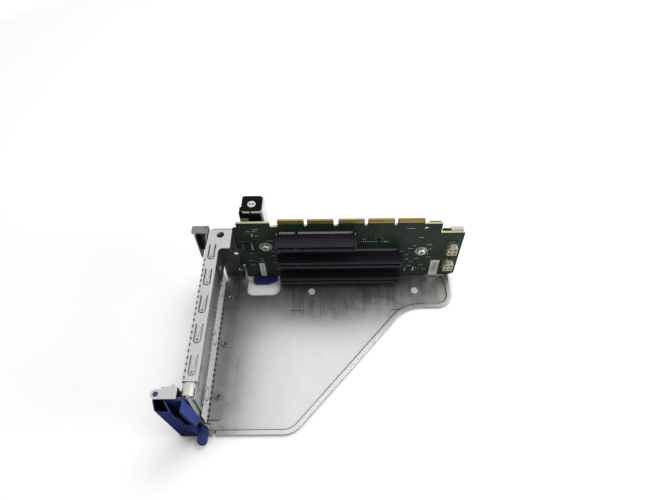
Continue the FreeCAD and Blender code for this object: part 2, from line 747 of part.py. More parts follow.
def corner_band(edge_x, z0, z1):
    """One level band of the corner plate, with its step back to the carrier at edge_x."""
    lap_front = carrier_front - SHEET
    end = edge_x + CORNER_RAMP
    right = CORNER_LAP_X + SHEET
    points = ((CORNER_LEFT, CORNER_Y), (edge_x, CORNER_Y), (end, lap_front), (right, lap_front),
              (right, lap_front + SHEET), (end, lap_front + SHEET),
              (edge_x, CORNER_Y + SHEET), (CORNER_LEFT, CORNER_Y + SHEET))
    return prism(points, [0] * len(points), z0, z1)


def corner_plate():
    lap_front = carrier_front - SHEET
    low = plate_top
    foot_end = THUMB_BACK_LEFT - SHEET
    bands = [
        corner_band(CORNER_STEP_X, CORNER_FOOT_HIGH, CORNER_BOSS_LOW),
        corner_band(CORNER_BOSS_X, CORNER_BOSS_LOW, CORNER_BOSS_HIGH),
        corner_band(CORNER_STEP_X, CORNER_BOSS_HIGH, CORNER_TOP),
        upright(((CORNER_HEEL_X, low), (foot_end, low), (foot_end, CORNER_FOOT_HIGH),
                 (CORNER_LEFT, CORNER_FOOT_HIGH), (CORNER_HEEL_X, CORNER_HEEL_Z)),
                (0, 0, 0, 0, 0), CORNER_Y, CORNER_Y + SHEET),
    ]
    web_end = CORNER_BOSS_X + CORNER_RAMP
    for z, end in ((CORNER_FOOT_HIGH, foot_end), (CORNER_BOSS_LOW, web_end), (CORNER_BOSS_HIGH, web_end)):
        bands.append(box(CORNER_STEP_X, end, CORNER_Y, lap_front + SHEET, z - SHEET / 2, z + SHEET / 2))
    side = box(SHEET, SHEET * 2, WALL_BACK - CORNER_TAB_LENGTH, CORNER_Y + SHEET, CORNER_TAB_LOW, CORNER_TOP)
    side_web = box(SHEET, CORNER_LEFT, CORNER_Y, CORNER_Y + SHEET, CORNER_TAB_LOW, CORNER_TOP)
    foot = box(CORNER_HEEL_X, foot_end, CORNER_Y, CORNER_Y + CORNER_FOOT_LENGTH, low, low + SHEET)
    plate = bands[0].fuse(bands[1:] + [side, side_web, foot])
    cuts = []
    for x, z in CORNER_HOLES:
        cuts.append(rod(CORNER_HOLE_RADIUS, Vec(x, 0, z), Vec(0, 1, 0), carrier_front))
    half = CORNER_SLOT_LENGTH / 2
    cuts.append(box(CORNER_SLOT_X - half, CORNER_SLOT_X + half, 0, carrier_front,
                    CORNER_SLOT_Z, CORNER_SLOT_Z + CORNER_SLOT_WIDTH))
    for x, y in corner_rivets:
        cuts.append(rod(RIVET_SHANK, Vec(x, y, 0), Vec(0, 0, 1), low + SHEET * 2))
    for y, z in wall_rivets:
        cuts.append(rod(RIVET_SHANK, Vec(0, y, z), Vec(1, 0, 0), SHEET * 3))
    for x, z in lap_rivets:
        cuts.append(rod(RIVET_SHANK, Vec(x, 0, z), Vec(0, 1, 0), carrier_back + SHEET))
    return plate.cut(cuts).removeSplitter()


def board_carrier():
    left = CORNER_BOSS_X + CORNER_RAMP - SHEET
    points = (
        (left, CARRIER_NOTCH_Z), (CARRIER_FOOT_X, CARRIER_NOTCH_Z), (CARRIER_FOOT_X, plate_top),
        (carrier_right, plate_top), (carrier_right, CARRIER_STEP_Z), (CARRIER_STEP_X, CARRIER_STEP_Z),
        (CARRIER_STEP_X, CARRIER_TOP), (left, CARRIER_TOP),
    )
    wide = CARRIER_RADIUS * 2
    radii = (CARRIER_RADIUS, CARRIER_RADIUS, 0, 0, wide, wide, wide, CARRIER_RADIUS)
    sheet = upright(points, radii, carrier_front, carrier_back)
    foot = rounded_box(CARRIER_FOOT_X, carrier_right, carrier_front, carrier_back + CARRIER_FOOT_LENGTH,
                       plate_top, foot_top, SHEET * 0.4)
    cuts = []
    for x in CARRIER_WINDOW_X:
        corners = ((x, CARRIER_WINDOW_LOW), (x + CARRIER_WINDOW_LENGTH, CARRIER_WINDOW_LOW),
                   (x + CARRIER_WINDOW_LENGTH, CARRIER_WINDOW_HIGH), (x, CARRIER_WINDOW_HIGH))
        cuts.append(upright(corners, [CARRIER_WINDOW_RADIUS] * 4, 0, carrier_back + SHEET))
    for x, y in carrier_rivets:
        cuts.append(rod(RIVET_SHANK, Vec(x, y, 0), Vec(0, 0, 1), foot_top + SHEET))
    for x, z in lap_rivets + tower_rivets:
        cuts.append(rod(RIVET_SHANK, Vec(x, 0, z), Vec(0, 1, 0), carrier_back + SHEET))
    return sheet.fuse(foot).cut(cuts).removeSplitter()


def cross_rivets():
    """Rivets through upright sheets: corner lap and tower on the carrier, corner tab on the wall."""
    rivets = []
    for x, z in lap_rivets:
        seat = carrier_front - SHEET
        rivets.append(cross_rivet(Vec(x, seat, z), Vec(0, -1, 0), carrier_back - seat))
    for x, z in tower_rivets:
        rivets.append(cross_rivet(Vec(x, carrier_front, z), Vec(0, -1, 0), SHEET * 2))
    for y, z in wall_rivets:
        rivets.append(cross_rivet(Vec(SHEET * 2, y, z), Vec(1, 0, 0), SHEET * 2))
    return group(rivets)


def cross_rivet(seat, outward, grip):
    dome = Part.makeSphere(RIVET_RADIUS, seat, outward, 0, 90, 360)
    dome = dome.common(rod(RIVET_RADIUS, seat, outward, RIVET_HEAD))
    return dome.fuse(rod(RIVET_SHANK, seat, outward * -1, grip))


# Riser board

def board_outline():
    """The board's corners in X and Z with their radii, from the lower left and round."""
    small = BOARD_RADIUS
    points = [(BOARD_LEFT, BOARD_BOTTOM, small), (board_right - BOARD_CHAMFER * 1.6, BOARD_BOTTOM, small),
              (board_right, BOARD_BOTTOM + BOARD_CHAMFER, small), (board_right, BOARD_END_Z, small),
              (board_step_x, BOARD_END_Z, small), (board_step_x, BOARD_STEP_Z, small)]
    points.append((EDGE_LEFT + EDGE_TONGUES[-1][1], BOARD_STEP_Z, small))
    for k in range(len(EDGE_TONGUES) - 1, -1, -1):
        left, right = EDGE_TONGUES[k]
        points.append((EDGE_LEFT + right, EDGE_TOP, EDGE_BEVEL))
        points.append((EDGE_LEFT + left, EDGE_TOP, EDGE_BEVEL))
        if k > 0:
            radius = (left - EDGE_TONGUES[k - 1][1]) * 0.45
            points.append((EDGE_LEFT + left, EDGE_GAP_Z, radius))
            points.append((EDGE_LEFT + EDGE_TONGUES[k - 1][1], EDGE_GAP_Z, radius))
    points += [(EDGE_LEFT, NOTCH_Z, NOTCH_RADIUS), (NOTCH_LEFT, NOTCH_Z, NOTCH_RADIUS),
               (NOTCH_LEFT, BOARD_TOP, small), (BOARD_LEFT, BOARD_TOP, small)]
    return points


def riser_board():
    outline = board_outline()
    board = upright([(x, z) for x, z, r in outline], [r for x, z, r in outline], 0, BOARD)
    cuts = []
    for x, z in board_holes:
        cuts.append(rod(BOARD_HOLE_RADIUS, Vec(x, -SHEET, z), Vec(0, 1, 0), BOARD + SHEET * 2))
    for x, z in screw_places:
        cuts.append(rod(SCREW_SHANK + SCREW_CLEARANCE, Vec(x, -SHEET, z), Vec(0, 1, 0), BOARD + SHEET * 2))
    return board.cut(cuts)


def edge_contacts():
    pads = []
    high = EDGE_TOP - FINGER_PAD_TOP_GAP
    low = high - FINGER_PAD_HEIGHT
    for left, right in EDGE_TONGUES:
        count = int((right - left - FINGER_PAD_WIDTH) / FINGER_PAD_PITCH)
        start = (left + right) / 2 - (count - 1) * FINGER_PAD_PITCH / 2
        for k in range(count):
            x = EDGE_LEFT + start + FINGER_PAD_PITCH * k
            for y in (-FINGER_PAD_THICK, BOARD):
                pads.append(box(x - FINGER_PAD_WIDTH / 2, x + FINGER_PAD_WIDTH / 2,
                                y, y + FINGER_PAD_THICK, low, high))
    return group(pads)


def board_screws():
    screws = []
    for x, z in screw_places:
        head = rod(SCREW_HEAD_RADIUS, Vec(x, -SCREW_HEAD, z), Vec(0, 1, 0), SCREW_HEAD)
        head = head.makeFillet(SCREW_HEAD * 0.45, [front_edge(head)])
        arm = SCREW_RECESS * 0.4
        for wide, tall in ((SCREW_RECESS * 1.5, arm), (arm, SCREW_RECESS * 1.5)):
            head = head.cut(box(x - wide, x + wide, -SCREW_HEAD, SCREW_RECESS - SCREW_HEAD,
                                z - tall, z + tall))
        screws.append(head.fuse(rod(SCREW_SHANK, Vec(x, 0, z), Vec(0, 1, 0), carrier_front)))
    return group(screws)


def front_edge(solid):
    """The round edge that lies nearest to the viewer's side."""
    rims = [edge for edge in solid.Edges if edge.Curve.TypeId == "Part::GeomCircle"]
    return min(rims, key=lambda edge: edge.CenterOfMass.y)


def board_standoffs():
    posts = []
    for x, z in screw_places:
        post = rod(STANDOFF_RADIUS, Vec(x, BOARD, z), Vec(0, 1, 0), CARRIER_GAP)
        posts.append(post.cut(rod(SCREW_SHANK, Vec(x, 0, z), Vec(0, 1, 0), carrier_front)))
    return group(posts)


# Card slots

def slot_housing(z, length):
    half = SLOT_HEIGHT / 2
    front = -SLOT_DEPTH
    body = box(SLOT_LEFT, SLOT_LEFT + length, front, 0, z - half, z + half)
    long_edges = [edge for edge in body.Edges if abs(edge.CenterOfMass.y - front) < half / 10]
    body = body.makeFillet(CARD_LEAD / 2, long_edges)
    left = SLOT_LEFT + CARD_END
    right = SLOT_LEFT + length - CARD_END
    mouth = box(left, right, front, front + CARD_DEPTH, z - CARD_GAP / 2, z + CARD_GAP / 2)
    wide = CARD_GAP / 2 + CARD_LEAD
    lead = profile_along_x(((front, z - wide), (front + CARD_LEAD, z - CARD_GAP / 2),
                            (front + CARD_LEAD, z + CARD_GAP / 2), (front, z + wide)), left, right)
    key = box(SLOT_LEFT + KEY_LEFT, SLOT_LEFT + KEY_LEFT + KEY_WIDTH, front + CARD_LEAD,
              front + CARD_DEPTH, z - CARD_GAP / 2, z + CARD_GAP / 2)
    return body.cut([mouth, lead]).fuse(key)


def profile_along_x(points, x0, x1):
    corners = [Vec(x0, y, z) for y, z in points]
    face = Part.Face(Part.makePolygon(corners + corners[:1]))
    return face.extrude(Vec(x1 - x0, 0, 0))


def pin_places(count):
    places = []
    for k in range(count):
        jump = PIN_KEY_JUMP if k >= PIN_KEY_AFTER else 0
        places.append(SLOT_LEFT + PIN_MARGIN + PIN_PITCH * k + jump)
    return places


def slot_contacts(z, count):
    """The contact tails, an L-shaped foot on the board above and below the housing."""
    tails = []
    half = SLOT_HEIGHT / 2
    for x in pin_places(count):
        left = x - PIN_WIDTH / 2
        for side in (1, -1):
            inner = z + side * half
            outer = inner + side * PIN_REACH
            low, high = min(inner, outer), max(inner, outer)
            tails.append(box(left, left + PIN_WIDTH, -PIN_HEIGHT, 0, low, high))
    return group(tails)


def slot_clips():
    clips = []
    half = SLOT_HEIGHT / 2
    for z, length in zip(slot_z, slot_length):
        for x in (SLOT_LEFT + CLIP_INSET, SLOT_LEFT + length - CLIP_INSET):
            clips.append(box(x - CLIP_WIDTH / 2, x + CLIP_WIDTH / 2, -CLIP_HEIGHT, 0,
                             z + half, z + half + CLIP_REACH))
    return group(clips)


# Power connectors and small parts

def power_window_lows(z):
    first = z + POWER_WINDOW_RISE
    return (first, first + POWER_WINDOW_STEP)


def power_connector(z):
    left = power_x
    right = power_x + POWER_WIDTH
    top = z + POWER_HEIGHT
    cut = POWER_SHOULDER
    points = ((left, z), (right, z), (right, top - cut), (right - cut, top), (left + cut, top),
              (left, top - cut))
    body = upright(points, [POWER_RADIUS] * len(points), -POWER_DEPTH, 0)
    middle = (left + right) / 2
    windows = []
    for side in (-1, 1):
        x = middle + side * POWER_WINDOW_PITCH / 2
        for low in power_window_lows(z):
            windows.append(box(x - POWER_WINDOW / 2, x + POWER_WINDOW / 2, -POWER_DEPTH,
                               -POWER_DEPTH + POWER_WINDOW_DEPTH, low, low + POWER_WINDOW))
    return body.cut(windows)


def power_pins():
    pins = []
    middle = power_x + POWER_WIDTH / 2
    half = POWER_PIN / 2
    floor = POWER_WINDOW_DEPTH - POWER_DEPTH
    for z in POWER_Z:
        for side in (-1, 1):
            x = middle + side * POWER_WINDOW_PITCH / 2
            for low in power_window_lows(z):
                centre = low + POWER_WINDOW / 2
                pins.append(box(x - half, x + half, floor - POWER_WINDOW_DEPTH * 0.7, floor,
                                centre - half, centre + half))
    return group(pins)


def chips():
    """Two chips at the board's left end and one past the long slots."""
    places = list(LEFT_CHIPS) + [past(long_end, place) for place in RIGHT_CHIPS]
    return group([box(x, x + wide, -thick, 0, z, z + tall) for x, z, wide, tall, thick in places])


def past(end, place):
    """A place that is given from a slot's right end."""
    return (end + place[0],) + tuple(place[1:])


def small_parts():
    parts = []
    places = list(LEFT_PARTS) + [past(short_end, place) for place in MIDDLE_PARTS]
    places += [past(long_end, place) for place in RIGHT_PARTS]
    for x, z in places:
        parts.append(box(x - TINY_WIDTH / 2, x + TINY_WIDTH / 2, -TINY_THICK, 0,
                         z - TINY_HEIGHT / 2, z + TINY_HEIGHT / 2))
    left = short_end + BIG_PART_PAST_SHORT
    parts.append(box(left, left + BIG_PART_WIDTH, -BIG_PART_THICK, 0,
                     BIG_PART_Z, BIG_PART_Z + BIG_PART_HEIGHT))
    return group(parts)


def board_label(place):
    x, z, wide, tall = place
    return box(x, x + wide, -LABEL_THICK, 0, z, z + tall)


def back_part(place):
    x, z, wide, tall, thick = past(long_end, place)
    return box(x, x + wide, BOARD, BOARD + thick, z, z + tall)


# Half-turn latch

def tower_bracket():
    """A sheet box behind the carrier: front web with a window, two sides and a floor."""
    left = TOWER_LEFT
    right = TOWER_RIGHT
    points = ((left, tower_front), (right, tower_front), (right, tower_back), (right - SHEET, tower_back),
              (right - SHEET, tower_front + SHEET), (left + SHEET, tower_front + SHEET),
              (left + SHEET, tower_back), (left, tower_back))
    radii = (BEND + SHEET, BEND + SHEET, 0, 0, BEND, BEND, 0, 0)
    shell = prism(points, radii, TOWER_LOW, TOWER_HIGH)
    floor = box(left + SHEET, right - SHEET, tower_front + SHEET, tower_back, TOWER_LOW, TOWER_LOW + SHEET)
    window_left = left - SHEET
    window_right = right - SHEET - TOWER_MARGIN
    points = (
        (window_left, tower_window_low), (TOWER_WINDOW_SPLIT, tower_window_low),
        (TOWER_WINDOW_SPLIT, tower_window_low - TOWER_WINDOW_DROP),
        (window_right, tower_window_low - TOWER_WINDOW_DROP),
        (window_right, tower_window_high), (window_left, tower_window_high),
    )
    bent = SHEET + BEND
    cuts = [upright(points, [TOWER_WINDOW_RADIUS] * len(points), 0, tower_front + bent)]
    cuts.append(box(window_left, left + bent, tower_front, tower_front + SHOULDER_DEPTH,
                    tower_window_low, tower_window_high))
    wing = box(SHOULDER_LEFT, left + SHEET * 2, tower_front, tower_front + SHEET,
               tower_window_low - SHOULDER_PLATE, tower_window_low)
    cuts.append(rod(SHAFT_RADIUS + SHAFT_FIT, Vec(AXIS_X, AXIS_Y, 0), Vec(0, 0, 1), TOWER_LOW + SHEET * 2))
    for x, z in tower_rivets:
        cuts.append(rod(RIVET_SHANK, Vec(x, 0, z), Vec(0, 1, 0), tower_front + SHEET * 1.5))
    return shell.fuse([floor, wing]).cut(cuts).removeSplitter()


def tower_housing():
    """The moulded guide at the tower's head: it fills the window and carries the cap."""
    left = TOWER_LEFT + SHEET + HOUSING_GAP
    right = TOWER_RIGHT - SHEET - HOUSING_GAP
    front = tower_front + SHEET + HOUSING_GAP
    back = tower_back - HOUSING_GAP
    face = tower_front + HOUSING_GAP
    block = prism(((left, front), (right, front), (right, back), (left, back)), (BEND, BEND, 0, 0),
                  housing_low, TOWER_HIGH)
    shoulder_back = tower_front + SHOULDER_DEPTH - HOUSING_GAP
    boss_right = right - TOWER_MARGIN
    boss_low = tower_window_low + HOUSING_GAP
    boss_high = tower_window_high - HOUSING_GAP
    boss = box(SHOULDER_LEFT, boss_right, face, front + BEND, boss_low, boss_high)
    shoulder = box(SHOULDER_LEFT, left + BEND, face, shoulder_back, boss_low, boss_high)
    deep = box(TOWER_WINDOW_SPLIT + HOUSING_GAP, boss_right, face, front + BEND,
               boss_low - TOWER_WINDOW_DROP, boss_high)
    cap = rounded_box(TOWER_LEFT - HOUSING_GAP, right - HOUSING_GAP, tower_front, tower_back,
                      TOWER_HIGH, cap_top, CAP_RADIUS)
    rib = box(AXIS_X - KEY_RIB, AXIS_X, tower_front - HOUSING_GAP, tower_front, tower_window_high, cap_top)
    body = block.fuse([boss, shoulder, deep, cap, rib]).removeSplitter()
    up = Vec(0, 0, 1)
    bore = rod(SHAFT_RADIUS + SHAFT_FIT, Vec(AXIS_X, AXIS_Y, housing_low), up, cap_top - housing_low)
    floor = head_low - TURN_GAP
    recess = rod(SHAFT_RECESS, Vec(AXIS_X, AXIS_Y, floor), up, cap_top - floor)
    return body.cut([bore, recess])


def half_turn_shaft():
    """The turned shaft: a slotted head in the cap and a collar above the bracket's floor."""
    shaft = rod(SHAFT_RADIUS, Vec(AXIS_X, AXIS_Y, SHAFT_LOW), Vec(0, 0, 1), head_low - SHAFT_LOW)
    head = rod(SHAFT_HEAD_RADIUS, Vec(AXIS_X, AXIS_Y, head_low), Vec(0, 0, 1), SHAFT_HEAD)
    high_rim = max(head.Edges, key=lambda edge: edge.BoundBox.ZMin)
    head = head.makeFillet(SHAFT_HEAD * 0.3, [high_rim])
    collar = rod(SHAFT_COLLAR_RADIUS, Vec(AXIS_X, AXIS_Y, collar_low), Vec(0, 0, 1), SHAFT_COLLAR)
    slot = box(AXIS_X - SHAFT_HEAD_RADIUS * 0.6, AXIS_X + SHAFT_HEAD_RADIUS * 0.6, AXIS_Y - SHAFT_SLOT / 2,
               AXIS_Y + SHAFT_SLOT / 2, head_low + SHAFT_HEAD / 2, head_low + SHAFT_HEAD * 2)
    return shaft.fuse([head, collar]).cut(slot)


def half_turn_lever():
    axis = Vec(AXIS_X, AXIS_Y, LEVER_LOW)
    hub = rod(HUB_RADIUS, axis, Vec(0, 0, 1), LEVER_THICK)
    boss = rod(HUB_BOSS_RADIUS, axis, Vec(0, 0, 1), HUB_BOSS_TOP - LEVER_LOW)
    tip = AXIS_Y - LEVER_LENGTH
    left = AXIS_X - LEVER_LEFT
    right = AXIS_X + LEVER_RIGHT
    shoulder = AXIS_Y - LEVER_SHOULDER
    wing = prism(((left, tip), (AXIS_X + LEVER_BEND, tip), (right, shoulder), (right, shoulder + LEVER_RADIUS * 2),
                  (AXIS_X + HUB_RADIUS, AXIS_Y), (left, AXIS_Y)),
                 (LEVER_RADIUS, LEVER_RADIUS, LEVER_RADIUS * 0.7, LEVER_RADIUS, 0, 0), LEVER_LOW, lever_top)
    lever = hub.fuse([boss, wing])
    return lever.cut(rod(SHAFT_RADIUS, Vec(AXIS_X, AXIS_Y, SHAFT_LOW), Vec(0, 0, 1), HUB_BOSS_TOP))


def shaft_ring():
    low = HUB_BOSS_TOP
    ring = rod(RING_RADIUS, Vec(AXIS_X, AXIS_Y, low), Vec(0, 0, 1), RING_THICK)
    ring = ring.cut(rod(SHAFT_RADIUS, Vec(AXIS_X, AXIS_Y, low), Vec(0, 0, 1), RING_THICK))
    return ring.cut(box(AXIS_X - SHAFT_RADIUS * 0.6, AXIS_X + SHAFT_RADIUS * 0.6, AXIS_Y,
                        AXIS_Y + RING_RADIUS * 2, low, low + RING_THICK))


def half_turn_spring():
    """The coil spring between the shaft's collar and the moulded guide."""
    low = collar_low + SHAFT_COLLAR + TURN_GAP + SPRING_WIRE
    high = housing_low - SPRING_WIRE
    tall = high - low
    spine = Part.makeHelix(tall / SPRING_TURNS, tall, SPRING_RADIUS)
    section = Part.Wire(Part.makeCircle(SPRING_WIRE, Vec(SPRING_RADIUS, 0, 0), Vec(0, 1, 0)))
    coil = Part.Wire(spine).makePipeShell([section], True, True)
    coil.translate(Vec(AXIS_X, AXIS_Y, low))
    return coil


# Card latch

def ear(z0, z1):
    """One pivot ear with its pointed rib at the back, where it meets the bracket's back web."""
    left = PIVOT_X - EAR_HALF
    front = PIVOT_Y - EAR_HALF
    tip = ear_back + EAR_BUMP
    points = (
        (left, front), (EAR_RIGHT, front), (EAR_RIGHT, web_back), (EAR_BUMP_X + EAR_BUMP_HALF, web_back),
        (EAR_BUMP_X, tip), (EAR_BUMP_X - EAR_BUMP_HALF, web_back), (WEB_LEFT, web_back),
        (WEB_LEFT, ear_back), (left, ear_back),
    )
    rounding = EAR_HALF * 0.95
    radii = (rounding, BEND, BEND, 0, BEND, 0, 0, 0, rounding)
    plate = prism(points, radii, z0, z1)
    return plate.cut(rod(PIVOT_RADIUS + PIVOT_FIT, Vec(PIVOT_X, PIVOT_Y, z0), Vec(0, 0, 1), z1 - z0))


def latch_bracket():
    """Two ears on a back web, and a side web flat against the outside of the wall."""
    side_top = flange_low - WEB_STEP
    outline = ((WEB_LEFT, wall_low), (0, wall_low), (0, side_top), (EAR_RIGHT, side_top),
               (EAR_RIGHT, flange_low), (WEB_LEFT, flange_low))
    back_web = upright(outline, (0, 0, 0, BEND, 0, 0), web_back - SHEET, web_back)
    side_web = box(-SHEET, 0, web_back - SHEET, wall_front + WEB_LENGTH, wall_low, side_top)
    return back_web.fuse([side_web, ear(wall_low, foot_top), ear(flange_low, wall_top)]).removeSplitter()


def latch_section(front, back, share, lift):
    """A level section of the door; share scales the slanted corner at its front left."""
    points = [(LATCH_LEFT, back)]
    points += [(LATCH_LEFT + across * share, front + along * share) for across, along in LATCH_SIDE]
    points += [(LATCH_RIGHT, front), (LATCH_RIGHT, back)]
    return rounded_wire(points, [0] * len(points), lift)


def latch_funnel(high):
    """The wide mouth at the door's top that narrows down into the groove."""
    beyond = LATCH_FRONT - SHEET
    centre = GROOVE_X + GROOVE_WIDTH / 2
    right = LATCH_RIGHT - FUNNEL_WALL
    mouth = ((FUNNEL_LEFT, FUNNEL_BACK), (FUNNEL_MOUTH, beyond), (right, beyond), (right, FUNNEL_BACK))
    throat = [(centre + (x - centre) * FUNNEL_NARROWING, beyond + (y - beyond) * FUNNEL_NARROWING)
              for x, y in mouth]
    flat = [0] * len(mouth)
    return Part.makeLoft([rounded_wire(throat, flat, high - FUNNEL_HEIGHT), rounded_wire(mouth, flat, high)],
                         True, True)


def latch_pocket(high, slope):
    """The hollow of the moulding beside the funnel, open at the top; it leans with the door."""
    corners = [(LATCH_LEFT + across, LATCH_FRONT + along) for across, along in LATCH_SIDE]
    front = LATCH_FRONT + POCKET_WALL
    rim = ((LATCH_LEFT + POCKET_WALL, POCKET_BACK), (LATCH_LEFT + POCKET_WALL, corners[0][1]),
           (corners[1][0] + POCKET_WALL, corners[1][1]), (corners[2][0], front), (POCKET_MOUTH, front),
           (POCKET_RIGHT, POCKET_BACK))
    floor = [(x, y + POCKET_DEPTH * slope) for x, y in rim]
    flat = [0] * len(rim)
    return Part.makeLoft([rounded_wire(floor, flat, high - POCKET_DEPTH), rounded_wire(rim, flat, high)],
                         True, True)


def card_latch():
    """The blue door: a leaning body, its pivot barrel, a funnel, a groove and the thumb tab."""
    low = pivot_low
    high = pivot_high
    low_front = LATCH_FRONT + LATCH_FRONT_LEAN
    low_back = LATCH_BACK + LATCH_BACK_LEAN
    foot_section = latch_section(low_front, low_back, LATCH_SIDE_FOOT, low)
    head_section = latch_section(LATCH_FRONT, LATCH_BACK, 1.0, high)
    body = Part.makeLoft([foot_section, head_section], True, True)
    barrel = rod(EAR_HALF, Vec(PIVOT_X, PIVOT_Y, low), Vec(0, 0, 1), high - low)
    pin = rod(PIVOT_RADIUS, Vec(PIVOT_X, PIVOT_Y, wall_low), Vec(0, 0, 1), wall_top - wall_low)
    tab_right = THUMB_TAB_LEFT + THUMB_TAB_WIDTH
    tab_top = low + THUMB_TAB_THICK
    tab = rounded_box(THUMB_TAB_LEFT, tab_right, THUMB_TAB_FRONT, low_back, low, tab_top,
                      THUMB_TAB_WIDTH * 0.45)
    beyond = LATCH_FRONT - SHEET
    groove = box(GROOVE_X, GROOVE_X + GROOVE_WIDTH, beyond, LATCH_FRONT + GROOVE_DEPTH,
                 high - GROOVE_LENGTH, high)
    heel_back = low_back + SHEET
    heel_rise = HEEL_SLOPE * (heel_back - beyond)
    heel = profile_along_x(((beyond, tab_top), (heel_back, tab_top), (heel_back, HEEL_Z - HEEL_SLOPE),
                            (beyond, HEEL_Z - HEEL_SLOPE + heel_rise)), HEEL_X, tab_right)
    slope = LATCH_FRONT_LEAN / (high - low)
    for hollow in (groove, latch_funnel(high), latch_pocket(high, slope), heel):
        body = body.cut(hollow)
    return body.fuse([barrel, pin, tab])


def latch_spring():
    """A bent wire clip round the knuckle's front end, with its tail along the knuckle's side."""
    y = knuckle_front - HOUSING_GAP - LATCH_WIRE
    z = wall_top - KNUCKLE_DROP - KNUCKLE_RADIUS
    right = KNUCKLE_RADIUS * 2 + HOUSING_GAP + LATCH_WIRE
    points = (Vec(EAR_RIGHT, y, z + SHEET), Vec(KNUCKLE_RADIUS, y, z), Vec(right, y, z),
              Vec(right, knuckle_front + WIRE_TAIL, z))
    wire = Part.makeSphere(LATCH_WIRE, points[0])
    for start, end in zip(points, points[1:]):
        run = end - start
        wire = wire.fuse([rod(LATCH_WIRE, start, run, run.Length), Part.makeSphere(LATCH_WIRE, end)])
    return wire


# Rivet places
foot_rivets = [(SHEET + FOOT_WIDTH / 2, WALL_BACK - FOOT_RIVET_IN - FOOT_RIVET_PITCH * k)
               for k in range(FOOT_RIVETS)]
carrier_rivet_x = (CARRIER_FOOT_X + CARRIER_RIVET_IN, (CARRIER_FOOT_X + carrier_right) / 2,
                   carrier_right - CARRIER_RIVET_IN)
carrier_rivets = [(x, carrier_back + CARRIER_FOOT_LENGTH / 2) for x in carrier_rivet_x]
corner_rivets = [(CORNER_RIVET_X, CORNER_Y + CORNER_FOOT_LENGTH * 0.65)]
lap_rivets = [(CORNER_LAP_X, LAP_RIVET_Z)]
tower_rivets = [(AXIS_X, z) for z in TOWER_RIVET_Z]
wall_rivets = [(WALL_BACK - CORNER_TAB_LENGTH * 0.55, z) for z in WALL_RIVET_Z]

os.makedirs("parts", exist_ok=True)
save("cage_plate", cage_plate())
save("plate_studs", plate_studs())
save("foot_rivets", level_rivets(foot_rivets, foot_top))
save("carrier_rivets", level_rivets(carrier_rivets + corner_rivets, foot_top))
save("cross_rivets", cross_rivets())
save("rear_wall", rear_wall())
for number, z in enumerate(slot_z, 1):
    save("slot_cover_%d" % number, slot_cover(z))
save("contact_strip", contact_strip())
save("guide_hook", guide_hook())
save("corner_plate", corner_plate())
save("board_carrier", board_carrier())
save("riser_board", riser_board())
save("edge_contacts", edge_contacts())
save("board_screws", board_screws())
save("board_standoffs", board_standoffs())
for number in range(len(slot_z)):
    save("slot_housing_%d" % (number + 1), slot_housing(slot_z[number], slot_length[number]))
    save("slot_contacts_%d" % (number + 1), slot_contacts(slot_z[number], slot_pins[number]))
save("slot_clips", slot_clips())
for number, z in enumerate(POWER_Z, 1):
    save("power_connector_%d" % number, power_connector(z))
save("power_pins", power_pins())
save("chips", chips())
save("small_parts", small_parts())
save("board_label_1", board_label(LEFT_LABEL))
save("board_label_2", board_label(past(long_end, RIGHT_LABEL)))
save("back_plug", back_part(BACK_PLUG))
save("back_socket", back_part(BACK_SOCKET))
save("back_chip", back_part(BACK_CHIP))
save("tower_bracket", tower_bracket())
save("tower_housing", tower_housing())
save("half_turn_shaft", half_turn_shaft())
save("half_turn_lever", half_turn_lever())
save("shaft_ring", shaft_ring())
save("half_turn_spring", half_turn_spring())
save("latch_bracket", latch_bracket())
save("card_latch", card_latch())
save("latch_spring", latch_spring())
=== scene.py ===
import math
import random

import bmesh
import bpy
from mathutils import Matrix, Vector


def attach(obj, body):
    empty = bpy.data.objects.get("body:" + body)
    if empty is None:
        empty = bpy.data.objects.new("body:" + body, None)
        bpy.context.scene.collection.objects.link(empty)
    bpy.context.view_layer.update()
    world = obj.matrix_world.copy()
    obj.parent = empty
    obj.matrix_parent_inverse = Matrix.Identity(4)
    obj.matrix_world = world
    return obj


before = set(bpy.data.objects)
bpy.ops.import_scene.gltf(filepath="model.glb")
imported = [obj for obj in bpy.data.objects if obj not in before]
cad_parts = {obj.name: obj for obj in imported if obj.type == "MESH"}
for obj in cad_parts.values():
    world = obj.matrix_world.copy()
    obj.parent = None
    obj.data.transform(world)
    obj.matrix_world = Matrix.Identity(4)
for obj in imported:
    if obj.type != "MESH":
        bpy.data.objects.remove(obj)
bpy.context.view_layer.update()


# Base plate
# The floor of the cage is one pressed sheet of zinc-plated steel, one millimetre thick. Its free
# edges are lifted a little by the press, and a thumb opening is punched at the board's left end.

def joined(tree, kind, links=None, **props):
    """A new node with its properties set and its inputs given a value or another node's output."""
    node = tree.nodes.new(kind)
    for name, value in props.items():
        setattr(node, name, value)
    for socket, source in (links or {}).items():
        if isinstance(source, bpy.types.NodeSocket):
            tree.links.new(source, node.inputs[socket])
        else:
            node.inputs[socket].default_value = source
    return node


def blended(tree, factor, first, second):
    """A mix of two colours; each may be a colour or an output."""
    return joined(tree, "ShaderNodeMix", {0: factor, 6: first, 7: second}, data_type="RGBA").outputs[2]


def sums(tree, operation, *values):
    """One sum on one value or two; each may be a number or an output."""
    return joined(tree, "ShaderNodeMath", dict(enumerate(values)), operation=operation).outputs[0]


def spread(tree, value, low, high, new_low, new_high):
    """A value's range, low to high, spread over a new range."""
    links = {0: value, 1: low, 2: high, 3: new_low, 4: new_high}
    return joined(tree, "ShaderNodeMapRange", links).outputs[0]


def swing(tree, pattern, low, high):
    """A noise pattern spread over a range; most of a noise lies between 0.3 and 0.7."""
    return spread(tree, pattern, 0.3, 0.7, low, high)


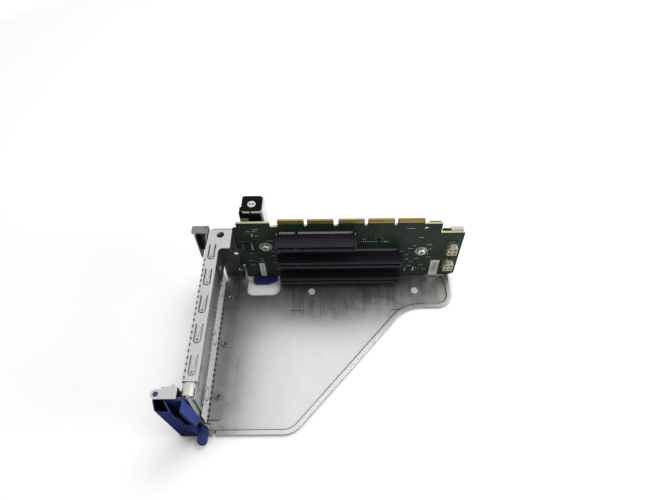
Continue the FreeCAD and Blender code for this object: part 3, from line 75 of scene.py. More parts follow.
def tinted(colour, factor=1.0, lift=0.0):
    """A colour made darker or lighter, with its alpha."""
    return tuple(min(c * factor + lift, 1.0) for c in colour) + (1,)


def fresh_material(name):
    """A new material, its tree and its shader."""
    material = bpy.data.materials.new(name)
    material.use_nodes = True
    tree = material.node_tree
    return material, tree, tree.nodes["Principled BSDF"]


def object_place(tree, stretch=(1, 1, 1)):
    """The point on the piece, stretched for a pattern."""
    point = joined(tree, "ShaderNodeTexCoord").outputs["Object"]
    return joined(tree, "ShaderNodeMapping", {0: point, 3: stretch}).outputs[0]


def noise(tree, place, scale, detail=2.0, rough=0.5):
    """A noise pattern; its scale is the number of swings in a metre."""
    links = {"Vector": place, "Scale": scale, "Detail": detail, "Roughness": rough}
    return joined(tree, "ShaderNodeTexNoise", links).outputs[0]


def soft_edges(tree, radius):
    """The normal, rounded over the edges by a radius in metres."""
    return joined(tree, "ShaderNodeBevel", {0: radius}, samples=4).outputs[0]


def edge_mask(tree, bevel):
    """One on the edges, where the rounded normal leaves the flat one, and nought elsewhere."""
    flat = joined(tree, "ShaderNodeNewGeometry").outputs["Normal"]
    dot = joined(tree, "ShaderNodeVectorMath", {0: bevel, 1: flat}, operation="DOT_PRODUCT").outputs["Value"]
    return spread(tree, dot, 0.80, 0.995, 1.0, 0.0)


def painted(tree, shader, shade, gloss):
    """Joins a colour and a roughness to the shader."""
    tree.links.new(shade, shader.inputs["Base Color"])
    tree.links.new(gloss, shader.inputs["Roughness"])


def roughened(tree, shader, heights, normal, strength, depth):
    """Fine relief on the rounded normal, by a pattern's heights; the depth is in metres."""
    links = {"Strength": strength, "Distance": depth, "Height": heights, "Normal": normal}
    bump = joined(tree, "ShaderNodeBump", links).outputs[0]
    tree.links.new(bump, shader.inputs["Normal"])


def painted_near_shade(tree, shade, reach, least):
    """Painted shade: the colour darkened where other faces stand close."""
    open_sky = joined(tree, "ShaderNodeAmbientOcclusion", {"Distance": reach}, samples=8).outputs["AO"]
    level = spread(tree, open_sky, 0.30, 0.95, least, 1.0)
    grey = joined(tree, "ShaderNodeCombineXYZ", {0: level, 1: level, 2: level}).outputs[0]
    return joined(tree, "ShaderNodeVectorMath", {0: shade, 1: grey}, operation="MULTIPLY").outputs[0]


def plated_steel(name, colour, rough=0.36, grain=(14, 900, 900), mottle=110, metal=0.9, shift=0.0,
                 reach=0.035, least=0.30, relief=0.22):
    """Zinc-plated sheet: cloudy crystals, rolling grain along one way, brighter cut edges.

    Each pattern lightens or darkens the colour a little. A painted shade darkens it, down to least,
    where other faces stand within reach.
    """
    material, tree, shader = fresh_material(name)
    shader.inputs["Metallic"].default_value = metal
    place = object_place(tree)
    moved = joined(tree, "ShaderNodeVectorMath", {0: place, 1: (shift, shift, shift)}).outputs[0]
    clouds = noise(tree, moved, mottle, detail=3.0, rough=0.55)
    wide = noise(tree, moved, 16)
    cells = joined(tree, "ShaderNodeTexVoronoi", {"Vector": moved, "Scale": mottle * 3.4}).outputs["Color"]
    crystal = joined(tree, "ShaderNodeSeparateXYZ", {0: cells}).outputs[0]
    lines = noise(tree, object_place(tree, grain), 1.0, detail=4.0, rough=0.6)
    tone = sums(tree, "ADD", swing(tree, clouds, -0.05, 0.05), swing(tree, wide, -0.05, 0.05))
    tone = sums(tree, "ADD", tone, spread(tree, crystal, 0, 1, -0.018, 0.018))
    tone = sums(tree, "ADD", tone, swing(tree, lines, -0.035, 0.035))
    bevel = soft_edges(tree, radius=0.00035)
    tone = sums(tree, "ADD", tone, sums(tree, "MULTIPLY", edge_mask(tree, bevel), 0.10))
    shade = blended(tree, sums(tree, "ADD", tone, 0.5), tinted(colour, 0.6), tinted(colour, 1.4))
    gloss = sums(tree, "ADD", swing(tree, lines, rough - 0.06, rough + 0.08),
                 swing(tree, clouds, -0.04, 0.05))
    painted(tree, shader, painted_near_shade(tree, shade, reach, least), gloss)
    fine = sums(tree, "ADD", lines, sums(tree, "MULTIPLY", clouds, 0.5))
    roughened(tree, shader, fine, bevel, strength=relief, depth=0.00004)
    return material


def coat(node, material):
    """Gives a CAD node its material on every face."""
    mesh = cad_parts[node].data
    mesh.materials.clear()
    mesh.materials.append(material)
    mesh.polygons.foreach_set("material_index", [0] * len(mesh.polygons))
    mesh.update()


# The plate's long reach paints shade on it near the board and the wall.
plate_zinc = plated_steel("plate_zinc", (0.87, 0.92, 0.905), rough=0.33, grain=(900, 14, 900),
                          reach=0.06, least=0.22, relief=0.06)
coat("cage_plate", plate_zinc)


# Rear wall
# The wall is bent from one sheet into a foot, an upright and a flange that ends in a rolled
# knuckle. U-shaped spring tabs are cut into the flange, and rows of dashes ease its two bends.

# The wall is the same plated steel as the plate; its darker colour is a painted shade for its inner face.
wall_zinc = plated_steel("wall_zinc", (0.58, 0.59, 0.575), rough=0.40, grain=(900, 14, 900),
                         mottle=140, shift=0.3, reach=0.06, least=0.15)
coat("rear_wall", wall_zinc)


# Slot covers
# Three blanks of thinner sheet fill the wall's card windows. They are punched with staggered
# six-sided holes for air and hooked into the windows by a tab at each end.

cover_zinc = plated_steel("cover_zinc", (0.34, 0.35, 0.345), rough=0.45, grain=(900, 16, 900),
                          mottle=160, shift=0.6)
for number in (1, 2, 3):
    coat("slot_cover_%d" % number, cover_zinc)


# Spring strip
# A strip of thin stainless spring steel lies along the foot of the wall. Three fingers, each
# freed by a hooked slit, press on the card brackets and earth them.

strip_steel = plated_steel("strip_steel", (0.86, 0.87, 0.85), rough=0.30, grain=(900, 10, 1400),
                           mottle=60, metal=0.45, reach=0.0015, least=0.10)
coat("contact_strip", strip_steel)


# Guide channel
# A short bent channel is fixed outside the wall at its back end, open towards the cards, with a
# flat cap on top. It slides on a rib of the chassis.

hook_zinc = plated_steel("hook_zinc", (0.24, 0.255, 0.25), rough=0.45, grain=(900, 900, 14),
                         mottle=150, shift=1.1)
coat("guide_hook", hook_zinc)


# Corner plate
# The stepped plate between wall and board is of duller sheet, and its colour is set much darker than the
# other sheets, a painted shade for its front-facing side. It has a raised boss, two round holes, a slot and
# a foot, and laps over the carrier.

corner_zinc_painted_shade = plated_steel("corner_zinc_painted_shade", (0.105, 0.118, 0.130), rough=0.48, grain=(900, 900, 16),
                           mottle=90, metal=0.75, shift=1.7)
coat("corner_plate", corner_zinc_painted_shade)


# Board carrier
# A flanged sheet behind the board holds it on standoffs. It has two rounded windows and a foot
# that is riveted to the plate.

carrier_zinc = plated_steel("carrier_zinc", (0.55, 0.56, 0.55), rough=0.40, shift=2.3)
coat("board_carrier", carrier_zinc)


# Rivets and studs
# Semi-round steel rivets are headed over in a press, which leaves fine rings on the domes; those
# in the wall's foot are given a darker colour, a painted shade for their shadowed hollows. Two flat studs
# stand in the plate in front of the board.

def turned_steel(name, colour, rough, metal=1.0):
    """Bright steel with small rings and specks, as a header or a lathe leaves it."""
    material, tree, shader = fresh_material(name)
    shader.inputs["Metallic"].default_value = metal
    place = object_place(tree)
    specks = noise(tree, place, 1500, detail=3.0)
    rings = joined(tree, "ShaderNodeTexWave", {"Vector": place, "Scale": 900, "Distortion": 3.0},
                   wave_type="BANDS", bands_direction="Z").outputs["Fac"]
    bevel = soft_edges(tree, radius=0.0002)
    # The colour is a little lighter along the edges.
    edge_lift = sums(tree, "MULTIPLY", edge_mask(tree, bevel), 0.3)
    tone = sums(tree, "ADD", swing(tree, specks, 0.35, 0.6), edge_lift)
    shade = blended(tree, tone, tinted(colour, 0.7), tinted(colour, 1.25))
    # Painted shade in the hollows and where other faces stand close.
    shade = painted_near_shade(tree, shade, reach=0.0026, least=0.06)
    painted(tree, shader, shade, swing(tree, specks, rough - 0.06, rough + 0.1))
    heights = sums(tree, "ADD", specks, sums(tree, "MULTIPLY", rings, 0.3))
    roughened(tree, shader, heights, bevel, strength=0.15, depth=0.00003)
    return material


rivet_steel = turned_steel("rivet_steel", (0.66, 0.66, 0.64), 0.3)
for node in ("carrier_rivets", "cross_rivets", "board_standoffs"):
    coat(node, rivet_steel)
# A darker steel colour: a painted shade for the foot rivets' hollows.
coat("foot_rivets", turned_steel("foot_steel_painted_shade", (0.30, 0.31, 0.30), 0.4))
coat("plate_studs", turned_steel("stud_steel", (0.86, 0.86, 0.84), 0.5, metal=0.25))


# Riser board
# The board is glass-fibre laminate with a dark green solder mask. Its cut edges show the pale
# layers, ochre along the tongues, and the copper tracks lift the mask a little.

# millimetres, as in every place below; the tongues' foot is in metres, for the shader
wall_face_x, board_face_y = 60.0, -50.0
board_thick = 1.6
board_holes = ((33.3, 63.0), (148.4, 58.6))
tongue_foot = 0.0669


def at(x, y, z):
    """A place in metres from millimetres off the wall's face, the board's face and the plate."""
    return Vector(((x - wall_face_x) / 1000.0, (y - board_face_y) / 1000.0, z / 1000.0))


def steps(tree, value, per_metre):
    """A value that climbs from nought to one so many times in a metre."""
    return sums(tree, "FRACT", sums(tree, "MULTIPLY", value, per_metre))


def solder_mask(name):
    """Green mask over tracks and copper fill on the faces, bare laminate on the cut edges."""
    material, tree, shader = fresh_material(name)
    point = joined(tree, "ShaderNodeTexCoord")
    parts = joined(tree, "ShaderNodeSeparateXYZ", {0: point.outputs["Object"]}).outputs
    face = joined(tree, "ShaderNodeSeparateXYZ", {0: point.outputs["Normal"]}).outputs[1]
    is_face = sums(tree, "GREATER_THAN", sums(tree, "ABSOLUTE", face), 0.5)
    flat = joined(tree, "ShaderNodeCombineXYZ", {0: parts[0], 1: parts[2]}).outputs[0]
    cells = joined(tree, "ShaderNodeTexVoronoi", {"Vector": flat, "Scale": 62}, distance="CHEBYCHEV")
    pick = joined(tree, "ShaderNodeSeparateXYZ", {0: cells.outputs["Color"]}).outputs
    track_share = 0.42
    level = sums(tree, "LESS_THAN", steps(tree, parts[2], 1150), track_share)
    upright = sums(tree, "LESS_THAN", steps(tree, parts[0], 1050), track_share)
    across = sums(tree, "GREATER_THAN", pick[0], 0.5)
    tracks = sums(tree, "ADD", sums(tree, "MULTIPLY", level, across),
                  sums(tree, "MULTIPLY", upright, sums(tree, "SUBTRACT", 1.0, across)))
    tracks = sums(tree, "MULTIPLY", tracks, sums(tree, "GREATER_THAN", pick[1], 0.45))
    pour = sums(tree, "GREATER_THAN", noise(tree, flat, 60, detail=0.0), 0.56)
    copper = sums(tree, "MAXIMUM", tracks, sums(tree, "MULTIPLY", pour, 0.8))
    cloud = noise(tree, flat, 240, detail=3.0)
    mask = blended(tree, copper, (0.0100, 0.0190, 0.0125, 1), (0.0205, 0.0365, 0.0240, 1))
    mask = blended(tree, swing(tree, cloud, 0.0, 0.5), mask, (0.0150, 0.0240, 0.0175, 1))
    layers = steps(tree, parts[1], 4200)
    weave = noise(tree, object_place(tree, (1, 6, 1)), 1400)
    pale = blended(tree, layers, (0.50, 0.50, 0.24, 1), (0.68, 0.67, 0.40, 1))
    ochre = blended(tree, layers, (0.34, 0.215, 0.050, 1), (0.47, 0.32, 0.095, 1))
    on_tongue = sums(tree, "GREATER_THAN", parts[2], tongue_foot)
    rim = blended(tree, on_tongue, pale, ochre)
    rim = blended(tree, spread(tree, weave, 0.35, 0.7, 0.0, 0.25), rim, (0.35, 0.34, 0.20, 1))
    # The cut edges inside the two holes are coloured near black, a painted shade for the hole barrels.
    for x, z in board_holes:
        middle = (at(x, 0, z).x, at(x, 0, z).z, 0)
        away = joined(tree, "ShaderNodeVectorMath", {0: flat, 1: middle}, operation="DISTANCE")
        in_hole = sums(tree, "LESS_THAN", away.outputs["Value"], 0.002)
        rim = blended(tree, in_hole, rim, (0.030, 0.032, 0.018, 1))
    gloss = spread(tree, is_face, 0, 1, 0.75, 0.40)
    painted(tree, shader, blended(tree, is_face, rim, mask), gloss)
    shader.inputs["Specular IOR Level"].default_value = 0.14
    bevel = soft_edges(tree, radius=0.00015)
    heights = sums(tree, "ADD", copper, sums(tree, "MULTIPLY", cloud, 0.3))
    roughened(tree, shader, heights, bevel, strength=0.25, depth=0.00004)
    return material


coat("riser_board", solder_mask("board_mask"))


# Edge contacts
# Flat gold-plated fingers are etched on both faces of the board's five tongues. They are wiped
# bright by the connector of the system board.

def plated_gold(name):
    """Worn gold plating: wiped streaks along the finger and duller clouds."""
    material, tree, shader = fresh_material(name)
    shader.inputs["Metallic"].default_value = 1.0
    wipe = noise(tree, object_place(tree, (2600, 400, 260)), 1.0, detail=3.0)
    cloud = noise(tree, object_place(tree), 500)
    shade = blended(tree, swing(tree, wipe, 0, 1), (0.30, 0.20, 0.065, 1), (0.50, 0.36, 0.13, 1))
    shade = blended(tree, spread(tree, cloud, 0.45, 0.75, 0, 0.35), shade, (0.22, 0.15, 0.06, 1))
    painted(tree, shader, shade, swing(tree, wipe, 0.22, 0.40))
    bevel = soft_edges(tree, radius=0.00008)
    roughened(tree, shader, wipe, bevel, strength=0.2, depth=0.00002)
    return material


gold = plated_gold("edge_gold")
coat("edge_contacts", gold)


# Board holes and screw pads
# Tinned rings lie round the two locating holes, coloured near black as a painted shade for the dark holes,
# and brighter ones under the two screw heads, where the solder mask is left open.

def settled(name, mesh, body, material):
    """Makes a finished object of a mesh whose place is in its points, and lets it ride on a body."""
    piece = bpy.data.objects.new(name, mesh)
    bpy.context.scene.collection.objects.link(piece)
    mesh.materials.clear()
    mesh.materials.append(material)
    mesh.update()
    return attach(piece, body)


def tinned(name, colour, metal=0.9):
    """Solder or tinned copper: soft ripples and a dull shine."""
    material, tree, shader = fresh_material(name)
    shader.inputs["Metallic"].default_value = metal
    ripple = noise(tree, object_place(tree), 1800)
    shade = blended(tree, ripple, tinted(colour, 0.75), tinted(colour, 1.2))
    painted(tree, shader, shade, swing(tree, ripple, 0.25, 0.45))
    bevel = soft_edges(tree, radius=0.0001)
    roughened(tree, shader, ripple, bevel, strength=0.3, depth=0.00004)
    return material


def mesh_of(name, form):
    """A mesh of a closed form, with its faces turned outward."""
    mesh = bpy.data.meshes.new(name)
    bmesh.ops.recalc_face_normals(form, faces=form.faces)
    form.to_mesh(mesh)
    form.free()
    return mesh


def ring_mesh(name, places, radii, thick, face_y=0.0, side=-1):
    """Flat rings on the board: side is -1 on the front face and 1 on the back."""
    corners = 32
    inner, outer = radii
    form = bmesh.new()
    for x, z in places:
        loops = []
        for radius, lift in ((inner, 0.0), (inner, thick), (outer, thick), (outer, 0.0)):
            y = face_y + side * lift
            turns = [math.tau * k / corners for k in range(corners)]
            loops.append([form.verts.new(at(x + radius * math.cos(turn), y, z + radius * math.sin(turn)))
                          for turn in turns])
        for low, high in zip(loops, loops[1:] + loops[:1]):
            for k in range(corners):
                after = (k + 1) % corners
                form.faces.new((low[k], low[after], high[after], high[k]))
    return mesh_of(name, form)


screw_places = ((35.5, 40.2), (147.6, 33.0))
hole_radii, hole_thick = (1.52, 2.35), 0.04
pad_radii, pad_thick = (3.05, 4.3), 0.05
# Near-black tin: a painted shade for the dark holes.
ring_tin_painted_dark = tinned("ring_tin_painted_dark", (0.05, 0.065, 0.05))
for name, face_y, side in (("hole_rings_front", 0.0, -1), ("hole_rings_back", board_thick, 1)):
    rings = ring_mesh(name, board_holes, hole_radii, hole_thick, face_y, side)
    settled(name, rings, "cage", ring_tin_painted_dark)
pads = ring_mesh("screw_pads", screw_places, pad_radii, pad_thick)
settled("screw_pads", pads, "cage", tinned("pad_tin", (0.42, 0.42, 0.38)))


# Board screws
# Two pan-head screws with a cross recess hold the board on its standoffs.

screw_steel = turned_steel("screw_steel", (0.64, 0.64, 0.60), 0.24)
coat("board_screws", screw_steel)


# Printed marks
# White marks are screen-printed on the mask: rows of plain bars for the part names, outlines
# round chips and connectors, a small wedge, and a ring round each screw pad. No letters are drawn.

def slabs_mesh(name, slabs):
    """Flat boxes (x0, x1, y0, y1, z0, z1) in one mesh."""
    sides = ((0, 1, 3, 2), (4, 6, 7, 5), (0, 4, 5, 1), (2, 3, 7, 6), (0, 2, 6, 4), (1, 5, 7, 3))
    form = bmesh.new()
    for x0, x1, y0, y1, z0, z1 in slabs:
        corners = [form.verts.new(at(x, y, z)) for x in (x0, x1) for y in (y0, y1) for z in (z0, z1)]
        for side in sides:
            form.faces.new([corners[k] for k in side])
    return mesh_of(name, form)


def printed_ink(name, colour):
    """A thin coat of ink, worn through in places."""
    material, tree, shader = fresh_material(name)
    thin = noise(tree, object_place(tree), 2600)
    shade = blended(tree, spread(tree, thin, 0.35, 0.7, 0, 0.5), tinted(colour), tinted(colour, 0.6))
    painted(tree, shader, shade, swing(tree, thin, 0.5, 0.7))
    bevel = soft_edges(tree, radius=0.00005)
    roughened(tree, shader, thin, bevel, strength=0.1, depth=0.00002)
    return material


ink_thick = 0.03
bar_high, bar_gap = 0.75, 0.28
line_wide = 0.16
marks = []
draw = random.Random(7)


def mark(left, right, low, high):
    """Adds one printed bar on the board's front."""
    marks.append((left, right, -ink_thick, 0.0, low, high))


def name_bar(x, z, wide):
    """A row of short bars, as long as a printed name would be."""
    left = x
    while left < x + wide:
        step = draw.choice((0.45, 0.6, 0.75))
        mark(left, min(left + step, x + wide), z, z + bar_high)
        left += step + bar_gap


def outline_bars(x, z, wide, tall):
    """Four thin bars round a part."""
    mark(x, x + wide, z, z + line_wide)
    mark(x, x + wide, z + tall - line_wide, z + tall)
    mark(x, x + line_wide, z + line_wide, z + tall - line_wide)
    mark(x + wide - line_wide, x + wide, z + line_wide, z + tall - line_wide)


# left end, height and length of each name
name_places = (
    (28.2, 59.6, 4.6), (28.0, 57.4, 3.2), (24.2, 57.6, 2.2), (24.4, 55.4, 1.8), (29.6, 52.6, 2.4),
    (37.4, 46.8, 4.2), (134.9, 58.8, 5.6), (137.8, 35.8, 4.0), (104.6, 47.6, 2.4),
    (152.4, 25.4, 3.0), (151.0, 40.2, 3.4), (166.2, 42.6, 4.4), (166.0, 29.6, 3.2),
    (39.2, 34.6, 2.0), (30.0, 22.4, 2.6), (139.2, 14.6, 3.0), (144.2, 48.6, 3.2),
)
for x, z, wide in name_places:
    name_bar(x, z, wide)
# left, low, width and height of each outline
outline_places = (
    (19.6, 36.4, 6.6, 10.2), (22.4, 52.0, 5.2, 4.2), (137.6, 7.8, 6.2, 6.2),
    (165.2, 31.5, 8.2, 10.0), (165.2, 11.8, 8.2, 10.0), (113.9, 45.9, 4.6, 3.6),
)
for x, z, wide, tall in outline_places:
    outline_bars(x, z, wide, tall)
wedge_left, wedge_right, wedge_low = 167.2, 168.8, 22.6
wedge_slope, wedge_rise = 0.25, 0.24
for k in range(5):
    low = wedge_low + k * wedge_rise
    mark(wedge_left + k * wedge_slope, wedge_right - k * wedge_slope, low, low + wedge_rise)
ink_white = printed_ink("ink_white", (0.44, 0.46, 0.42))
settled("printed_marks", slabs_mesh("printed_marks", marks), "cage", ink_white)
pad_circles = ring_mesh("printed_rings", screw_places, (4.7, 4.9), ink_thick)
settled("printed_rings", pad_circles, "cage", ink_white)


# Plated through holes
# Small tinned vias are scattered between the parts, at the same places on both faces of the
# board. Each is a low ring of the same form, so one small tree sets them on their places.

def new_tree(name, inputs):
    """An empty geometry tree with named inputs; returns the tree and the outputs of its input node."""
    tree = bpy.data.node_groups.new(name, "GeometryNodeTree")
    tree.interface.new_socket("Geometry", in_out="INPUT", socket_type="NodeSocketGeometry")
    for label, kind in inputs:
        tree.interface.new_socket(label, in_out="INPUT", socket_type="NodeSocket" + kind)
    tree.interface.new_socket("Geometry", in_out="OUTPUT", socket_type="NodeSocketGeometry")
    return tree, tree.nodes.new("NodeGroupInput").outputs


def shaped(tree, kind, **links):
    """The output of a geometry node; an input's name has its blanks written as low lines."""
    return joined(tree, "GeometryNode" + kind, {k.replace("_", " "): v for k, v in links.items()}).outputs[0]


def close_tree(tree, given, form):
    """Sets the form on every point, makes it real and gives it the material."""
    instances = shaped(tree, "InstanceOnPoints", Points=given["Geometry"], Instance=form)
    real = shaped(tree, "RealizeInstances", Geometry=instances)
    done = shaped(tree, "SetMaterial", Geometry=real, Material=given["Material"])
    tree.links.new(done, tree.nodes.new("NodeGroupOutput").inputs[0])
    return tree


def strip_along(tree, start, middle, end, points, thick, width):
    """A flat strip of this thickness and width that follows a curve through three points."""
    line = shaped(tree, "CurveQuadraticBezier", Resolution=points, Start=start, Middle=middle, End=end)
    section = shaped(tree, "CurvePrimitiveQuadrilateral", Width=thick, Height=width)
    return shaped(tree, "CurveToMesh", Curve=line, Profile_Curve=section, Fill_Caps=True)


def grown(name, tree, places, values, body, material):
    """Runs a tree on points at the places and keeps the plain mesh that it gives."""
    seed_mesh = bpy.data.meshes.new(name + "_points")
    seed_mesh.from_pydata([at(*place) for place in places], [], [])
    host = bpy.data.objects.new(name + "_points", seed_mesh)
    bpy.context.scene.collection.objects.link(host)
    modifier = host.modifiers.new("grow", "NODES")
    modifier.node_group = tree
    for item in tree.interface.items_tree:
        if item.in_out == "INPUT" and item.name in values:
            modifier[item.identifier] = values[item.name]
    bpy.context.view_layer.update()
    evaluated = host.evaluated_get(bpy.context.evaluated_depsgraph_get())
    mesh = bpy.data.meshes.new_from_object(evaluated)
    mesh.name = name
    bpy.data.objects.remove(host)
    return settled(name, mesh, body, material)


def via_tree():
    """A low ring whose axis runs through the board."""
    tree, given = new_tree("via_ring", (("Radius", "Float"), ("Height", "Float"), ("Material", "Material")))
    disc = shaped(tree, "CurvePrimitiveCircle", Resolution=10, Radius=given["Radius"])
    wall = shaped(tree, "CurvePrimitiveCircle", Resolution=5, Radius=given["Height"])
    torus = shaped(tree, "CurveToMesh", Curve=disc, Profile_Curve=wall)
    turned = shaped(tree, "Transform", Geometry=torus, Rotation=(math.radians(90), 0, 0))
    return close_tree(tree, given, turned)


# left end, right end and middle height of each slot
slots = ((44.1, 100.1, 51.54), (44.1, 133.1, 31.22), (44.1, 133.1, 10.9))
# left, right, low and high of the areas without vias
chip_area = (19, 27, 35, 48)
label_areas = ((27.6, 34, 0, 21.5), (155.4, 164, 0, 23))
connector_areas = ((164, 180, 11, 24.5), (164, 180, 31, 42.5))
cut_corner = (158, 180, 52, 70)
covered = (chip_area,) + label_areas + connector_areas + (cut_corner,)
slot_side, slot_half = 2.0, 5.6
pad_clear = 5.4
via_count, via_grid = 420, 0.9


def clear_of_parts(x, z):
    """True where the board's front is bare enough for a via."""
    for left, right, middle in slots:
        if left - slot_side < x < right + slot_side and abs(z - middle) < slot_half:
            return False
    for pad_x, pad_z in screw_places + board_holes:
        if math.hypot(x - pad_x, z - pad_z) < pad_clear:
            return False
    return not any(left < x < right and low < z < high for left, right, low, high in covered)


via_places = []
scatter = random.Random(21)
while len(via_places) < via_count:
    x = round(scatter.uniform(19.5, 174.0) / via_grid) * via_grid
    z = round(scatter.uniform(4.2, 60.5) / via_grid) * via_grid
    if clear_of_parts(x, z) and (x, z) not in via_places:
        via_places.append((x, z))
via_form = via_tree()
via_tin = tinned("via_tin", (0.11, 0.13, 0.10))
via_proud = 0.01
for name, y in (("vias_front", -via_proud), ("vias_back", board_thick + via_proud)):
    ring = {"Radius": 0.00024, "Height": 0.00005, "Material": via_tin}
    grown(name, via_form, [(x, y, z) for x, z in via_places], ring, "cage", via_tin)


# Chips
# Flat resin packages are soldered on by bent legs: the two large ones by a row on each side, the
# small regulator by three legs on its right.

def moulded(name, colour, rough, grain=1600, strength=0.12, spec=0.5, lighter=1.5, least=1.0):
    """Moulded plastic or resin: fine grain, faint flow clouds, rounded edges a little lighter along them,
    and, where least is below one, a painted shade near other faces.
    """
    material, tree, shader = fresh_material(name)
    place = object_place(tree)
    fine = noise(tree, place, grain, detail=3.0)
    flow = noise(tree, place, 90)
    bevel = soft_edges(tree, radius=0.0003)
    tone = sums(tree, "ADD", swing(tree, flow, 0.0, 0.28), swing(tree, fine, 0.0, 0.14))
    tone = sums(tree, "ADD", tone, sums(tree, "MULTIPLY", edge_mask(tree, bevel), 0.45))
    shade = blended(tree, tone, tinted(colour), tinted(colour, lighter, lift=0.004))
    # Painted shade where other faces stand close.
    if least < 1.0:
        shade = painted_near_shade(tree, shade, reach=0.06, least=least)
    painted(tree, shader, shade, swing(tree, fine, rough - 0.05, rough + 0.08))
    shader.inputs["Specular IOR Level"].default_value = spec
    roughened(tree, shader, fine, bevel, strength=strength, depth=0.00005)
    return material


resin = moulded("chip_resin", (0.009, 0.009, 0.010), 0.45, spec=0.2)
for node in ("chips", "small_parts", "back_chip", "back_plug"):
    coat(node, resin)


def leg_tree():
    """A bent leg: a flat strip that follows a short curve from the package to the board."""
    tree, given = new_tree("bent_leg", (("Reach", "Float"), ("Rise", "Float"), ("Width", "Float"),
                                        ("Side", "Float"), ("Material", "Material")))
    reach = sums(tree, "MULTIPLY", given["Reach"], given["Side"])
    lift = sums(tree, "MULTIPLY", given["Rise"], -1.0)
    bend = sums(tree, "MULTIPLY", reach, 0.75)
    start = joined(tree, "ShaderNodeCombineXYZ", {1: lift}).outputs[0]
    knee = joined(tree, "ShaderNodeCombineXYZ", {0: bend, 1: lift}).outputs[0]
    foot = joined(tree, "ShaderNodeCombineXYZ", {0: reach, 1: -0.00004}).outputs[0]
    strip = strip_along(tree, start, knee, foot, points=5, thick=0.00012, width=given["Width"])
    return close_tree(tree, given, strip)


def row(x, z, pitch, count):
    """Places in an upright row on the board's front."""
    return [(x, 0.0, z + pitch * k) for k in range(count)]


leg_form = leg_tree()
leg_tin = tinned("leg_tin", (0.60, 0.60, 0.58))
for name, side, places in (
    ("chip_legs_left", -1.0, row(20.2, 37.8, pitch=1.27, count=6) + row(138.2, 8.9, pitch=0.65, count=7)),
    ("chip_legs_right", 1.0, row(25.6, 37.8, pitch=1.27, count=6) + row(143.2, 8.9, pitch=0.65, count=7)),
    ("regulator_legs", 1.0, row(27.0, 53.0, pitch=0.95, count=3)),
):
    leg = {"Reach": 0.0011, "Rise": 0.0005, "Width": 0.00034, "Side": side, "Material": leg_tin}
    grown(name, leg_form, places, leg, "cage", leg_tin)


# Small ceramic parts
# Chip resistors and capacitors lie between the slots, and two rows of tan ones on the back. Each
# has a tinned cap at both ends that stands just proud of the body.

# middle of each part on the board's front
tiny_parts = (
    (42.4, 32.6), (40.6, 30.0), (41.0, 21.4), (42.6, 12.2), (31.4, 26.6), (23.0, 24.3), (23.8, 19.1),
    (24.5, 33.4), (104.6, 45.6), (107.6, 45.6), (110.6, 45.4), (113.6, 45.4), (119.6, 45.2),
    (122.4, 45.2), (138.0, 24.0), (141.4, 20.6), (144.8, 24.6), (151.6, 30.6), (153.4, 36.0),
    (146.4, 12.6), (149.0, 16.4), (152.0, 11.0), (137.4, 29.6), (141.8, 40.4),
)


def cap_tree():
    """A rounded block on each point: a cube, cut finer and drawn towards a rounder form."""
    tree, given = new_tree("end_cap", (("Size", "Vector"), ("Material", "Material")))
    block = shaped(tree, "MeshCube", Size=given["Size"], Vertices_X=3, Vertices_Y=3, Vertices_Z=3)
    return close_tree(tree, given, shaped(tree, "SubdivisionSurface", Mesh=block, Level=1))


cap_form = cap_tree()
cap_tin = tinned("cap_tin", (0.66, 0.66, 0.63))
ceramic = moulded("ceramic_tan", (0.20, 0.135, 0.075), 0.45, lighter=1.3)
front_y, front_half = -0.33, 0.72
back_y, back_half = 1.9, 0.75
front_caps = [(x + side * front_half, front_y, z) for x, z in tiny_parts for side in (-1, 1)]
back_left, back_pitch = 46, 5.1
back_rows = [(back_left + back_pitch * k, back_y, z) for z in (41.4, 21.2) for k in range(12)]
back_caps = [(x + side * back_half, y, z) for x, y, z in back_rows for side in (-1, 1)]
for name, places, size, slot, material in (
    ("part_caps", front_caps, (0.00046, 0.00070, 0.00104), "gold_contacts", cap_tin),
    ("back_parts", back_rows, (0.00150, 0.00060, 0.00086), "chip_resin", ceramic),
    ("back_part_caps", back_caps, (0.00044, 0.00070, 0.00100), "gold_contacts", cap_tin),
):
    grown(name, cap_form, places, {"Size": size, "Material": material}, "cage", material)


# Card slots
# The housings are moulded in near-black plastic with fine raised lines along their sides. Two
# rows of sprung gold blades line each mouth, and steel clips hold the ends to the board.

# least paints shade where the housings stand close to each other and to the board.
slot_black = moulded("slot_black", (0.0290, 0.0245, 0.0345), 0.42, grain=1300, spec=0.12, least=0.12)
# Slots 2 and 3 get a darker copy of the contacts' tin, a painted shade under the slot above.
tail_tin = tinned("tail_tin", (0.88, 0.88, 0.85), metal=0.2)
tin_painted_shade = tinned("tin_painted_shade", (0.40, 0.40, 0.38), metal=0.4)
for number, tin in ((1, tail_tin), (2, tin_painted_shade), (3, tin_painted_shade)):
    coat("slot_housing_%d" % number, slot_black)
    coat("slot_contacts_%d" % number, tin)


def blade_tree():
    """A sprung blade: a strip that bows into the mouth and back."""
    tree, given = new_tree("sprung_blade", (("Bow", "Float"), ("Depth", "Float"), ("Width", "Float"),
                                            ("Material", "Material")))
    half = sums(tree, "MULTIPLY", given["Depth"], 0.5)
    middle = joined(tree, "ShaderNodeCombineXYZ", {1: half, 2: given["Bow"]}).outputs[0]
    inner = joined(tree, "ShaderNodeCombineXYZ", {1: given["Depth"]}).outputs[0]
    strip = strip_along(tree, (0, 0, 0), middle, inner, points=4, thick=0.00008, width=given["Width"])
    return close_tree(tree, given, strip)


blade_form = blade_tree()
